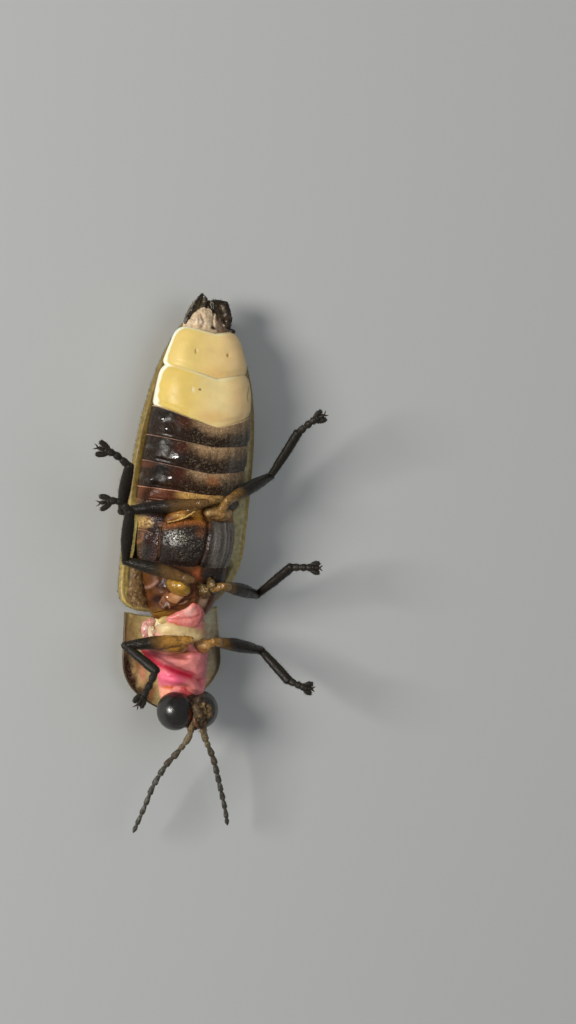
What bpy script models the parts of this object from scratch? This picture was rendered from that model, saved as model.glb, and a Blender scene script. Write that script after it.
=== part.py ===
"""The solid parts of a firefly, life size, lying on its wing cases with its belly up.

Every size below is in millimetres, and finish() turns each mesh into metres.
The body frame has X to the insect's right, Y towards its tail and Z from back to belly.
y = 0 is the base of the wing cases, and z = 0 is the level of the flats that it lies on.
"""

import math

import bmesh
import bpy
from mathutils import Matrix, Vector

MM = 0.001                          # one millimetre, in metres
WELD = 0.0005                       # points closer than this are one
GAP = 0.15                          # clear space between neighbouring solids
BOX_MIDDLE = Vector((0.1, 1.6, 0))  # middle of the whole firefly's box, set at the origin

# Wing cases (elytra)
ELYTRON_LENGTH = 9.5
ELYTRON_HALF_WIDTH = 2.07
ELYTRON_THICKNESS = 0.5
ELYTRON_EDGE_THICKNESS = 0.3
ELYTRON_EDGE_RISE = 0.62            # height of the outer edge over the resting flats
ELYTRON_FLAT = 0.5                  # share of the half width that is flat
ELYTRON_FLAT_START = 1.6            # the flats run between these two places along the body
ELYTRON_FLAT_END = 7.6
ELYTRON_END_RISE = 0.22             # height of the back at the base and tip of a wing case
ELYTRON_TAPER_START = 3.0
ELYTRON_TAPER_POWER = 2.6           # the higher, the later the sides turn in
ELYTRON_EDGE_FALL = 0.75            # share of the edge's rise that is lost towards the tip
ELYTRON_REAR_SHIFT = 0.045          # the pair lies this far to the right behind
# Shoulder of the left (-1) and right (1) wing case: where the outline starts to turn in, over what
# length, its two powers, and how much lower the edge lies at the base. The right one lies rolled
SHOULDERS = {-1: (0.6, 0.73, 4, 0.2, 0.0), 1: (2.0, 2.35, 2, 0.5, 0.55)}
SHOULDER_REACH = 2.2                # the lower edge ends this far along the body
RIGHT_SETBACK = 0.22                # the right wing case's base lies this far behind the left's
SCUTELLUM_LENGTH = 0.75
SCUTELLUM_HALF_WIDTH = 0.42

# Prothorax: the pronotum's shield, and the soft underside that carries the front legs
PROTHORAX_TURN = math.radians(8.6)  # it looks a little to the insect's right
PROTHORAX_PLACE = Vector((-0.1, -0.25, 0))
PRONOTUM_LENGTH = 3.05
PRONOTUM_HALF_WIDTH = 1.67
PRONOTUM_THICKNESS = 0.46
PRONOTUM_EDGE_THICKNESS = 0.26
PRONOTUM_CORNER = 0.155             # how far the hind corners point back
PRONOTUM_SWEEP = 0.13               # how far its sides lie behind its middle
PRONOTUM_TAPER = 0.05               # how much narrower its left half is at the hind border
PROSTERNUM_LENGTH = 2.6
# At places along the soft underside, where its middle lies and its half width
PROSTERNUM_COURSE = ((0.0, 0.03, 0.84), (-0.15, 0.03, 0.97), (-0.5, 0.0, 1.04),
                     (-0.95, -0.07, 1.08), (-1.35, 0.05, 0.92), (-1.7, 0.17, 0.78),
                     (-2.2, 0.15, 0.74), (-2.45, 0.12, 0.66), (-2.6, 0.1, 0.52))

# Head, turned with the prothorax
HEAD_CENTRE = Vector((0.46, -3.1, 1.42))
HEAD_RADII = Vector((0.58, 0.6, 0.6))
HEAD_TURN = math.radians(5)
HEAD_ROLL = math.radians(24)        # about its long axis, the mouth towards the right
EYE_OFFSET = 0.55                   # from the head's middle to the middle of an eye
EYE_RADII = Vector((0.57, 0.62, 0.6))
EYE_FACE = 0.3                      # the eye's flat inner face, inwards of its middle
EYE_FACE_TILT = math.radians(24)    # the faces of the two eyes come closer on the belly side
EYE_HEIGHT = 0.07                   # of an eye's middle over the head's middle

# Hind ring of the thorax: the groove along the middle of its belly side
GROOVE_PLACE = 0.1
GROOVE_WIDTH = 0.16
GROOVE_DEPTH = 0.09

# Abdomen: at places along it, where its middle lies and its half width
ABDOMEN_COURSE = ((3.8, -0.2, 1.68), (4.7, -0.125, 1.695), (5.7, -0.085, 1.675),
                  (6.6, -0.055, 1.615), (7.2, -0.06, 1.56), (7.8, -0.09, 1.45),
                  (8.35, -0.115, 1.275), (8.75, -0.145, 1.135), (9.12, -0.175, 0.995))
PLATE_APEX = 0.14                   # the bend of a plate's border peaks this share off its middle
ABDOMEN_LOW = ELYTRON_THICKNESS + 1.2 * GAP
ABDOMEN_SIDE = 1.05                 # level of the abdomen's side edges
ABDOMEN_TOP = 2.26
SEGMENT_STEP = 0.05                 # each dark plate stands this far over the next one's front
# Hind border of each belly plate: place at the sides, and how far its middle lies forward
PLATE_2 = (3.9, 0.04)
PLATE_3 = (4.75, 0.22)
PLATE_4 = (5.57, 0.18)
PLATE_5 = (6.5, 0.5)
PLATE_6 = (7.87, 0.32)
PLATE_7 = (9.12, 0.14)

TIP_LEVEL = 1.26                    # level of the tail's lobes

RING = 28                           # points round a body section
COLOURS = {
    "elytron": ((0.10, 0.08, 0.05), 0.5),
    "pronotum": ((0.62, 0.52, 0.30), 0.4),
    "prosternum": ((0.85, 0.25, 0.33), 0.35),
    "mesothorax": ((0.45, 0.16, 0.06), 0.35),
    "metathorax": ((0.07, 0.03, 0.02), 0.3),
    "abdomen": ((0.06, 0.03, 0.025), 0.35),
    "lantern": ((0.90, 0.76, 0.44), 0.4),
    "tip": ((0.35, 0.24, 0.17), 0.45),
    "head": ((0.12, 0.08, 0.05), 0.4),
    "eye": ((0.01, 0.01, 0.012), 0.08),
    "antenna": ((0.05, 0.045, 0.035), 0.5),
    "leg": ((0.035, 0.03, 0.025), 0.4),
}


# ---------------------------------------------------------------- tools

def clear_scene():
    """Remove every object and set up the collections for the parts and the cutters."""
    for thing in list(bpy.data.objects):
        bpy.data.objects.remove(thing, do_unlink=True)
    collections = []
    for name in ("firefly", "cutters"):
        group = bpy.data.collections.new(name)
        bpy.context.scene.collection.children.link(group)
        collections.append(group)
    return collections


PARTS, CUTTERS = clear_scene()


def add_object(name, mesh):
    """Link a new part that holds the mesh."""
    thing = bpy.data.objects.new(name, mesh)
    PARTS.objects.link(thing)
    return thing


def from_bmesh(name, shape):
    """Close a bmesh into a part with its faces pointing out."""
    bmesh.ops.recalc_face_normals(shape, faces=shape.faces)
    mesh = bpy.data.meshes.new(name)
    shape.to_mesh(mesh)
    shape.free()
    return add_object(name, mesh)


def material(kind):
    """The Principled material of one kind of part."""
    if kind in bpy.data.materials:
        return bpy.data.materials[kind]
    colour, roughness = COLOURS[kind]
    made = bpy.data.materials.new(kind)
    made.use_nodes = True
    shader = made.node_tree.nodes["Principled BSDF"]
    shader.inputs["Base Color"].default_value = (*colour, 1)
    shader.inputs["Roughness"].default_value = roughness
    shader.inputs["Metallic"].default_value = 0
    return made


def smooth_step(value):
    """0 below 0, 1 above 1, and a soft curve between."""
    value = min(1.0, max(0.0, value))
    return value * value * (3 - 2 * value)


def superellipse(share, power):
    """Height of a superellipse of radius 1 at a share of its half width."""
    return (1 - min(1.0, abs(share)) ** power) ** (1 / power)


def loft(name, rings):
    """A closed skin over rings of the same count, split into triangles alike all round."""
    shape = bmesh.new()
    loops = [[shape.verts.new(point) for point in ring] for ring in rings]
    for near, far in zip(loops, loops[1:]):
        for k in range(len(near)):
            shape.faces.new((near[k - 1], near[k], far[k]))
            shape.faces.new((near[k - 1], far[k], far[k - 1]))
    for loop in (loops[0], loops[-1]):
        middle = shape.verts.new(sum((v.co for v in loop), Vector()) / len(loop))
        for k in range(len(loop)):
            shape.faces.new((loop[k], loop[k - 1], middle))
    return from_bmesh(name, shape)


def body_ring(y, half_width, low, side, top, middle=0.0, bend=0.0, power=2.3, count=RING,
              apex=0.0):
    """A body section: one superellipse above its widest level and another below it.

    bend moves the upper half forward, most at the apex, which curves a plate's border.
    """
    ring = []
    for k in range(count):
        angle = 2 * math.pi * k / count
        across = math.copysign(abs(math.cos(angle)) ** (2 / power), math.cos(angle))
        up = math.copysign(abs(math.sin(angle)) ** (2 / power), math.sin(angle))
        reach = top - side if up >= 0 else side - low
        off = (across - apex) / (1 - math.copysign(apex, across - apex))
        forward = bend * (1 - abs(off) ** 1.2) if up > 0 else 0
        ring.append(Vector((middle + half_width * across, y - forward, side + reach * up)))
    return ring


def ball(name, centre, radii, turn=0.0, across=14, along=8):
    """An ellipsoid, turned about Z."""
    shape = bmesh.new()
    bmesh.ops.create_uvsphere(shape, u_segments=across, v_segments=along, radius=1)
    place = (Matrix.Translation(centre) @ Matrix.Rotation(turn, 4, "Z")
             @ Matrix.Diagonal((*radii, 1)))
    bmesh.ops.transform(shape, matrix=place, verts=shape.verts)
    return from_bmesh(name, shape)


def tube(name, points, radii, sides=2):
    """A round bar through the points, with its own radius at each."""
    curve = bpy.data.curves.new(name, "CURVE")
    curve.dimensions = "3D"
    curve.bevel_depth = 1
    curve.bevel_resolution = sides
    curve.use_fill_caps = True
    spline = curve.splines.new("POLY")
    spline.points.add(len(points) - 1)
    for node, point, radius in zip(spline.points, points, radii):
        node.co = (*point, 1)
        node.radius = radius
    guide = add_object(name + "_curve", curve)
    bpy.context.view_layer.update()
    evaluated = guide.evaluated_get(bpy.context.evaluated_depsgraph_get())
    mesh = bpy.data.meshes.new_from_object(evaluated)
    bpy.data.objects.remove(guide, do_unlink=True)
    shape = bmesh.new()
    shape.from_mesh(mesh)
    bmesh.ops.remove_doubles(shape, verts=shape.verts, dist=WELD)
    return from_bmesh(name, shape)


def smooth_path(points, count):
    """Points at even steps of a Catmull-Rom curve through the given ones."""
    ends = [2 * points[0] - points[1], *points, 2 * points[-1] - points[-2]]
    fine = []
    for a, b, c, d in zip(ends, ends[1:], ends[2:], ends[3:]):
        for k in range(16):
            t = k / 16
            fine.append(0.5 * (2 * b + (c - a) * t + (2 * a - 5 * b + 4 * c - d) * t * t
                               + (3 * b - a - 3 * c + d) * t ** 3))
    fine.append(points[-1].copy())
    reach = [0.0]
    for a, b in zip(fine, fine[1:]):
        reach.append(reach[-1] + (b - a).length)
    path = []
    step = 0
    for k in range(count):
        goal = reach[-1] * k / (count - 1)
        while step < len(reach) - 2 and reach[step + 1] < goal:
            step += 1
        share = (goal - reach[step]) / (reach[step + 1] - reach[step])
        path.append(fine[step].lerp(fine[step + 1], share))
    return path


def spindle(name, start, end, radii, bow=Vector(), sides=2):
    """A limb segment whose radius follows the list from one end to the other."""
    last = len(radii) - 1
    points = []
    for k in range(len(radii)):
        share = k / last
        points.append(start.lerp(end, share) + bow * math.sin(math.pi * share))
    return tube(name, points, radii, sides)


def keep_largest(thing):
    """Keep only the largest closed surface of a part."""
    shape = bmesh.new()
    shape.from_mesh(thing.data)
    left = set(shape.verts)
    islands = []
    while left:
        edge_of_island = [left.pop()]
        island = list(edge_of_island)
        while edge_of_island:
            vertex = edge_of_island.pop()
            for edge in vertex.link_edges:
                other = edge.other_vert(vertex)
                if other in left:
                    left.remove(other)
                    edge_of_island.append(other)
                    island.append(other)
        islands.append(island)
    islands.sort(key=len)
    for island in islands[:-1]:
        bmesh.ops.delete(shape, geom=island, context="VERTS")
    bmesh.ops.triangulate(shape, faces=shape.faces)
    bmesh.ops.remove_doubles(shape, verts=shape.verts, dist=WELD)
    bmesh.ops.dissolve_degenerate(shape, edges=shape.edges, dist=WELD)
    shape.to_mesh(thing.data)
    shape.free()


def apply_boolean(thing, operation, others):
    """Join a part to others, or cut it by them, and remove the others."""
    group = bpy.data.collections.new(thing.name + "_" + operation.lower())
    bpy.context.scene.collection.children.link(group)
    for other in others:
        PARTS.objects.unlink(other)
        group.objects.link(other)
    change = thing.modifiers.new(operation.lower(), "BOOLEAN")
    change.operation = operation
    change.operand_type = "COLLECTION"
    change.collection = group
    change.solver = "EXACT"
    bpy.context.view_layer.update()
    evaluated = thing.evaluated_get(bpy.context.evaluated_depsgraph_get())
    mesh = bpy.data.meshes.new_from_object(evaluated)
    thing.modifiers.remove(change)
    thing.data = mesh
    for other in others:
        bpy.data.objects.remove(other, do_unlink=True)
    bpy.data.collections.remove(group)
    keep_largest(thing)
    return thing


def join(name, pieces):
    """One closed body from overlapping pieces."""
    body = pieces[0]
    body.name = name
    return apply_boolean(body, "UNION", pieces[1:])


def carve(thing, cutters):
    """Cut a part clear of its neighbours."""
    return apply_boolean(thing, "DIFFERENCE", cutters)


def turn_with_prothorax(thing):
    """Move a piece modelled in the prothorax's own frame to its place."""
    place = (Matrix.Translation(PROTHORAX_PLACE)
             @ Matrix.Rotation(PROTHORAX_TURN, 4, "Z"))
    thing.data.transform(place)
    return thing


# ---------------------------------------------------------------- wing cases

def elytron_outline(y, side):
    """Half width of one wing case from the middle, at a place along it."""
    start, length, power, bluntness, _ = SHOULDERS[side]
    tail = (y - ELYTRON_TAPER_START) / (ELYTRON_LENGTH + 0.1 - ELYTRON_TAPER_START)
    front = (start - y) / length
    width = ELYTRON_HALF_WIDTH
    if tail > 0:
        width *= (1 - min(tail, 1) ** ELYTRON_TAPER_POWER) ** 0.5
    if front > 0:
        width *= (1 - min(front, 0.97) ** power) ** bluntness
    return width


def elytron_inner_edge(y):
    """The wing case's edge at the seam, which gives way to the scutellum and rounds the tip."""
    scutellum = max(0.0, 1 - y / SCUTELLUM_LENGTH)
    tip = max(0.0, (y - 8.9) / (ELYTRON_LENGTH - 8.9))
    return GAP / 2 + (SCUTELLUM_HALF_WIDTH + 0.1) * min(1, scutellum) + 0.3 * tip ** 2


def elytron_back(x, y, side):
    """Height of the back surface: flat in the middle, and rounded up to the side and ends."""
    share = abs(x) / max(elytron_outline(y, side), 0.5 * ELYTRON_HALF_WIDTH)
    tip = max(0.0, (y - 7.2) / (ELYTRON_LENGTH - 7.2))
    rise = ELYTRON_EDGE_RISE * (1 - ELYTRON_EDGE_FALL * tip ** 2) \
        * max(0.0, (share - ELYTRON_FLAT) / (1 - ELYTRON_FLAT)) ** 2.2
    front = max(0.0, (ELYTRON_FLAT_START - y) / ELYTRON_FLAT_START)
    rear = max(0.0, (y - ELYTRON_FLAT_END) / (ELYTRON_LENGTH - ELYTRON_FLAT_END))
    lower = SHOULDERS[side][4] * min(1.0, max(0.0, 1 - y / SHOULDER_REACH))
    return (rise + ELYTRON_END_RISE * min(front, 1.1) ** 2) * (1 - lower) + ELYTRON_END_RISE * rear ** 2


def plate_ring(y, inner, outer, back, thickness, count=9):
    """A section of a curved plate with round edges, from one edge to the other and back.

    back(x, y) is the height of the lower surface, and thickness(share) the plate's.
    """
    below = []
    above = []
    for k in range(count):
        share = (1 - math.cos(math.pi * k / (count - 1))) / 2
        x = inner + (outer - inner) * share
        rounding = 0.5 * (1 - superellipse(2 * share - 1, 6))
        deep = thickness(share)
        below.append(Vector((x, y, back(x, y) + rounding * deep)))
        above.append(Vector((x, y, back(x, y) + (1 - rounding) * deep)))
    return below, above


def plate_loft(name, sections):
    """A closed plate whose two faces share their outer edges."""
    rings = []
    for below, above in sections:
        rings.append(below + above[-2:0:-1])
    return loft(name, rings)


def make_elytron(name, side, setback):
    """One wing case, -1 for the insect's left and 1 for its right, its base set back a little."""
    sections = []
    steps = 17
    for k in range(steps):
        share = (1 - math.cos(math.pi * k / (steps - 1))) / 2
        y = -0.09 + (ELYTRON_LENGTH + 0.09) * share
        inner = elytron_inner_edge(y)
        outer = max(inner + 0.12, elytron_outline(y, side))

        def thickness(part, y=y):
            """Thick near the seam and thinner at the outer edge and the tip."""
            thick = ELYTRON_THICKNESS + (ELYTRON_EDGE_THICKNESS - ELYTRON_THICKNESS) * part ** 2
            return thick * (1 - 0.35 * smooth_step((y - 8.3) / 1.2))
        sections.append(plate_ring(y, inner, outer, lambda x, y: elytron_back(x, y, side),
                                   thickness))
    for below, above in sections:
        for point in below + above:
            point.x = point.x * side + ELYTRON_REAR_SHIFT * smooth_step((point.y - 3.5) / 3.5)
            point.y += setback * (1 - point.y / ELYTRON_LENGTH)
    return plate_loft(name, sections)


# ---------------------------------------------------------------- prothorax

def course_at(course, y):
    """The middle and half width that a course table gives at a place along the body."""
    rows = sorted(course)
    y = min(max(y, rows[0][0]), rows[-1][0])
    for before, after in zip(rows, rows[1:]):
        if y <= after[0]:
            break
    share = (y - before[0]) / (after[0] - before[0])
    return [a + (b - a) * share for a, b in zip(before[1:], after[1:])]


def pronotum_half_width(share):
    """Half width of the shield, from its hind border (0) to its front (1)."""
    front = max(0.0, (share - 0.45) / 0.55)
    return PRONOTUM_HALF_WIDTH * (0.97 + 0.03 * math.sin(math.pi * share)) \
        * max(0.0, 1 - front ** 2) ** 0.75


def pronotum_back(x, y):
    """Height of the shield's back: domed, with spread side margins and a raised front edge."""
    share = abs(x) / PRONOTUM_HALF_WIDTH
    front = max(0.0, (-y - 1.6) / 1.5)
    return 0.1 + 0.36 * share ** 2.2 + 0.12 * front ** 2


def make_pronotum():
    """The shield over the head, with its pointed hind corners."""
    sections = []
    steps = 15
    for k in range(steps):
        share = (1 - math.cos(math.pi * k / (steps - 1))) / 2
        y = -PRONOTUM_LENGTH * share
        half = max(0.1, pronotum_half_width(share))

        def thickness(part):
            """Thick in the middle and thin at the side margins."""
            edge = abs(2 * part - 1) ** 2
            return PRONOTUM_THICKNESS + (PRONOTUM_EDGE_THICKNESS - PRONOTUM_THICKNESS) * edge
        left = half * (1 - PRONOTUM_TAPER * (1 - smooth_step(share / 0.4)))
        below, above = plate_ring(y, -left, half, pronotum_back, thickness, 13)
        for point in below + above:
            wide = abs(point.x / PRONOTUM_HALF_WIDTH)
            behind = PRONOTUM_SWEEP * smooth_step((wide - 0.1) / 0.4)
            behind += PRONOTUM_CORNER * smooth_step((wide - 0.45) / 0.5)
            point.y += behind * smooth_step(1 - share * 3)
        sections.append((below, above))
    return turn_with_prothorax(plate_loft("pronotum", sections))


def make_prosternum():
    """The soft underside of the prothorax, from the neck to the front legs and back."""
    rings = []
    low = 0.1 + PRONOTUM_THICKNESS + GAP
    steps = 11
    for k in range(steps):
        share = k / (steps - 1)
        y = -PROSTERNUM_LENGTH * share
        top = 1.72 + 0.22 * math.sin(math.pi * share) - 0.25 * smooth_step((share - 0.6) / 0.4)
        middle, half = course_at(PROSTERNUM_COURSE, y)
        rings.append(body_ring(y, half, low, 1.0, top, middle, power=2.2))
    return turn_with_prothorax(loft("prosternum", rings))


# ---------------------------------------------------------------- head

def head_place():
    """The head's own frame."""
    return (Matrix.Translation(HEAD_CENTRE) @ Matrix.Rotation(HEAD_TURN, 4, "Z")
            @ Matrix.Rotation(HEAD_ROLL, 4, "Y"))


def eye_body(name, side, grown=0.0):
    """An eye: an ellipsoid with a flat inner face, grown all round where it cuts others."""
    shape = bmesh.new()
    bmesh.ops.create_uvsphere(shape, u_segments=18, v_segments=11, radius=1)
    radii = EYE_RADII + Vector((grown, grown, grown))
    place = (head_place() @ Matrix.Translation((side * EYE_OFFSET, 0, EYE_HEIGHT))
             @ Matrix.Rotation(math.radians(90), 4, "Y") @ Matrix.Diagonal((*radii.zyx, 1)))
    bmesh.ops.transform(shape, matrix=place, verts=shape.verts)
    inward = head_place().to_3x3() @ Vector((-side * math.cos(EYE_FACE_TILT), 0,
                                             math.sin(EYE_FACE_TILT)))
    face = head_place() @ Vector((side * (EYE_OFFSET - EYE_FACE - grown), 0, EYE_HEIGHT))
    geometry = shape.verts[:] + shape.edges[:] + shape.faces[:]
    cut = bmesh.ops.bisect_plane(shape, geom=geometry, plane_co=face, plane_no=inward,
                                 clear_outer=True, dist=WELD)
    rim = [item for item in cut["geom_cut"] if isinstance(item, bmesh.types.BMEdge)]
    bmesh.ops.holes_fill(shape, edges=rim, sides=0)
    return from_bmesh(name, shape)


def make_head():
    """The head capsule with the mouthparts, cut clear of both eyes."""
    capsule = ball("capsule", HEAD_CENTRE, HEAD_RADII, HEAD_TURN, 20, 12)
    place = head_place()
    pieces = [capsule]
    pieces.append(ball("snout", place @ Vector((0, -0.02, 0.56)), (0.33, 0.46, 0.24), HEAD_TURN))
    frons = [place @ Vector((0, -0.2, 0.15)), place @ Vector((0, -0.4, 0.3)),
             place @ Vector((0, -0.5, 0.34))]
    pieces.append(tube("frons", frons, (0.32, 0.3, 0.2), 3))
    neck = [place @ Vector((0, 0.4, -0.1)), place @ Vector((-0.05, 0.8, -0.2))]
    pieces.append(tube("neck", neck, (0.36, 0.34), 3))
    head = join("head", pieces)
    for side in (-1, 1):
        palp = [place @ Vector((side * 0.14, 0.1, 0.62)),
                place @ Vector((side * 0.22, 0.2, 0.78)),
                place @ Vector((side * 0.17, 0.04, 0.88))]
        head = join("head", [head, tube("palp", palp, (0.09, 0.11, 0.05), 1)])
    return carve(head, [eye_body("socket", side, GAP) for side in (-1, 1)])


# ---------------------------------------------------------------- thorax and abdomen

def make_mesothorax():
    """The middle ring of the thorax: the neck's soft wedge, and the seat of the middle legs."""
    low = ELYTRON_THICKNESS + 1.6 * GAP
    sections = ((-0.12, 0.86, 1.62, -0.15), (0.08, 1.0, 1.86, -0.15), (0.4, 1.14, 2.02, -0.12),
                (0.78, 1.28, 2.08, -0.1), (1.15, 1.35, 2.08, -0.08), (1.36, 1.38, 2.02, -0.08))
    rings = [body_ring(y, half, low, 1.15, top, middle) for y, half, top, middle in sections]
    body = loft("mesothorax", rings)
    outline = ((0, SCUTELLUM_HALF_WIDTH), (0.25, 0.8 * SCUTELLUM_HALF_WIDTH),
               (SCUTELLUM_LENGTH - 0.12, 0.08))
    plate = [body_ring(0.04 + y, half - 0.05, 0.14, 0.4, 0.95, count=12)
             for y, half in outline]
    return join("mesothorax", [body, loft("scutellum", plate)])


def make_metathorax():
    """The big hind ring of the thorax, lower behind, where the hind legs sit on it.

    A shallow groove runs down the middle of its belly side.
    """
    low = ELYTRON_THICKNESS + 1.2 * GAP
    sections = ((1.52, 1.42, 2.0, 0.0), (1.66, 1.5, 2.24, 0.5), (2.1, 1.56, 2.44, 1.0),
                (2.6, 1.58, 2.44, 1.0), (2.98, 1.6, 2.22, 0.5), (3.06, 1.6, 1.95, 0.0),
                (3.6, 1.6, 1.9, 0.0))
    rings = []
    for y, half, top, groove in sections:
        middle = -0.12 - 0.13 * smooth_step((y - 2.6) / 0.8)
        ring = body_ring(y, half, low, 1.1, top, middle, power=2.2, count=32)
        for point in ring:
            if point.z > 1.1:
                offset = (point.x - GROOVE_PLACE) / GROOVE_WIDTH
                point.z -= groove * GROOVE_DEPTH * math.exp(-offset * offset)
        rings.append(ring)
    return loft("metathorax", rings)


def abdomen_top(y):
    """Height of the belly's middle line."""
    front = smooth_step((y - 3.6) / 0.6)
    tail = max(0.0, (y - 6.2) / 4.0)
    return ABDOMEN_TOP - 0.16 * (1 - front) - 0.75 * tail ** 1.7


def abdomen_ring(y, bend, inset=0.0):
    """A section of the abdomen, its middle bent forward, drawn in by an inset."""
    low = ABDOMEN_LOW + 0.35 * max(0.0, (y - 7.0) / 2.0)
    side = ABDOMEN_SIDE + 0.12 * max(0.0, (y - 7.0) / 2.0)
    middle, half_width = course_at(ABDOMEN_COURSE, y)
    return body_ring(y, half_width - inset, low, side, abdomen_top(y) - inset, middle, bend, 2.4,
                     apex=PLATE_APEX)


def make_abdomen():
    """The dark belly plates two to five, each overlapping the front of the next."""
    start = 3.6 + GAP
    rings = []
    borders = ((start, 0.0), PLATE_2, PLATE_3, PLATE_4, PLATE_5)
    for (front, front_bend), (rear, rear_bend) in zip(borders, borders[1:]):
        rings.append(abdomen_ring(front + 0.04, front_bend, SEGMENT_STEP))
        for share in (0.4, 1.0):
            y = front + 0.04 + (rear - front - 0.04) * share
            rings.append(abdomen_ring(y, front_bend + (rear_bend - front_bend) * share))
    return loft("abdomen", rings)


def make_lantern(name, front, rear, rear_drop):
    """A pale lantern plate between two borders, rounded over at its hind border."""
    rings = []
    start = front[0] + GAP
    for share, inset in ((0, 0.05), (0.08, 0), (0.35, 0), (0.65, 0), (0.92, 0), (1, rear_drop)):
        y = start + (rear[0] - start) * share
        bend = front[1] + (rear[1] - front[1]) * share
        rings.append(abdomen_ring(y, bend, inset))
    return loft(name, rings)


def tail_lobe(name, sections):
    """A flat lobe of the tail, from its place along the body, both edges and half thickness."""
    rings = []
    for y, left, right, half_thickness in sections:
        rings.append(body_ring(y, (right - left) / 2, TIP_LEVEL - half_thickness, TIP_LEVEL,
                               TIP_LEVEL + half_thickness, (left + right) / 2, 0, 2, 12))
    return loft(name, rings)


def make_tip():
    """The last pale plate, with two broad dark lobes beside the tail's end."""
    start = PLATE_7[0] + GAP
    plate = [body_ring(y, half, low, side, top, middle, bend, 2.4, 18)
             for y, half, low, side, top, middle, bend in (
                 (start, 0.74, 0.98, 1.2, 1.58, -0.26, PLATE_7[1]),
                 (9.5, 0.64, 1.0, 1.22, 1.56, -0.3, 0.05), (9.78, 0.36, 1.08, 1.26, 1.48, -0.32, 0))]
    left = ((9.36, -1.01, -0.4, 0.14), (9.65, -0.9, -0.3, 0.18), (9.94, -0.75, -0.26, 0.17),
            (10.1, -0.64, -0.32, 0.12), (10.25, -0.53, -0.44, 0.06))
    right = ((9.36, 0.0, 0.61, 0.16), (9.65, -0.1, 0.59, 0.19), (9.9, -0.2, 0.49, 0.17),
             (10.02, -0.16, 0.44, 0.12), (10.1, -0.02, 0.4, 0.08))
    middle = ((9.6, -0.42, 0.02, 0.2), (9.98, -0.36, -0.1, 0.12))
    pieces = [loft("tip_plate", plate), tail_lobe("tip_left", left),
              tail_lobe("tip_right", right), tail_lobe("tip_middle", middle),
              ball("tip_knob", Vector((0.62, 9.28, 1.25)), (0.12, 0.12, 0.12), 0, 8, 6)]
    return join("abdomen_tip", pieces)


# ---------------------------------------------------------------- antennae and legs

def make_antenna(name, path, root_radius):
    """Eleven joints on one path: a stout first one, a short second and nine cone-shaped ones."""
    lengths = (1.25, 0.55) + (1.0,) * 9
    widths = [root_radius, 0.9 * root_radius]
    widths += [root_radius * (0.95 - 0.045 * k) for k in range(9)]
    count = 121
    line = smooth_path(path, count)
    points = []
    radii = []
    done = 0.0
    for length, width in zip(lengths, widths):
        for share, swell in ((0.04, 0.66), (0.5, 0.9), (0.93, 1.0)):
            place = (done + length * share) / sum(lengths)
            points.append(line[round(place * (count - 1))])
            radii.append(width * swell)
        done += length
    points.append(line[-1])
    radii.append(widths[-1] * 0.45)
    return tube(name, points, radii)


def make_claw(name, tip, ahead, sideways):
    """One small curved claw at the end of a foot."""
    points = [tip - ahead * 0.06, tip + ahead * 0.05 + sideways * 0.07,
              tip + ahead * 0.14 + sideways * 0.05]
    return tube(name, points, (0.06, 0.045, 0.02), 0)


def make_foot(name, start, bend, tip, width):
    """Five foot joints; the fourth is split into two lobes, and the last bears two claws."""
    count = 61
    line = smooth_path([start, bend, tip], count)
    joints = ((0.02, 0.30, 0.8, 1.0), (0.34, 0.50, 0.7, 0.95), (0.54, 0.67, 0.7, 1.0),
              (0.70, 0.80, 0.6, 0.6), (0.84, 1.0, 0.45, 0.6))
    points = []
    radii = []
    for begin, end, near, far in joints:
        for share, swell in ((begin, near), (end, far)):
            points.append(line[round(share * (count - 1))])
            radii.append(width * swell)
    pieces = [tube(name + "_joints", points, radii)]
    ahead = (tip - bend).normalized()
    sideways = ahead.cross(Vector((0, 0, 1))).normalized()
    for side in (-1, 1):
        root = line[round(0.66 * (count - 1))]
        end = line[round(0.88 * (count - 1))] + sideways * side * width * 0.85
        pieces.append(spindle("%s_lobe_%d" % (name, side), root, end,
                              (width * 0.5, width * 0.62, width * 0.4), sides=1))
        pieces.append(make_claw("%s_claw_%d" % (name, side), tip, ahead, sideways * side))
    return pieces


def make_leg(name, coxa, coxa_radii, coxa_turn, hip, knee, ankle, foot_bend, toe, thick):
    """A leg from its hip joint to its claws, joined into one body."""
    coxa, hip, knee, ankle, foot_bend, toe = (
        Vector(place) for place in (coxa, hip, knee, ankle, foot_bend, toe))
    coxa_ball = ball(name + "_coxa", coxa, coxa_radii, coxa_turn)
    hip_ball = ball(name + "_hip", hip, (thick * 0.92,) * 3, across=10, along=7)
    neck = tube(name + "_neck", (coxa.lerp(hip, 0.2), hip), (thick * 0.75, thick * 0.7), 1)
    thigh = spindle(name + "_femur", hip, knee,
                    [thick * k for k in (0.62, 0.92, 1.06, 1.02, 0.86, 0.72)])
    knee_ball = ball(name + "_knee", knee, (thick * 0.8,) * 3, across=8, along=6)
    shin = spindle(name + "_tibia", knee, ankle,
                   [thick * k for k in (0.62, 0.78, 0.82, 0.86, 0.74)])
    pieces = [coxa_ball, hip_ball, neck, thigh, knee_ball, shin]
    pieces += make_foot(name + "_foot", ankle, foot_bend, toe, thick * 0.7)
    return join(name, pieces)


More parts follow.
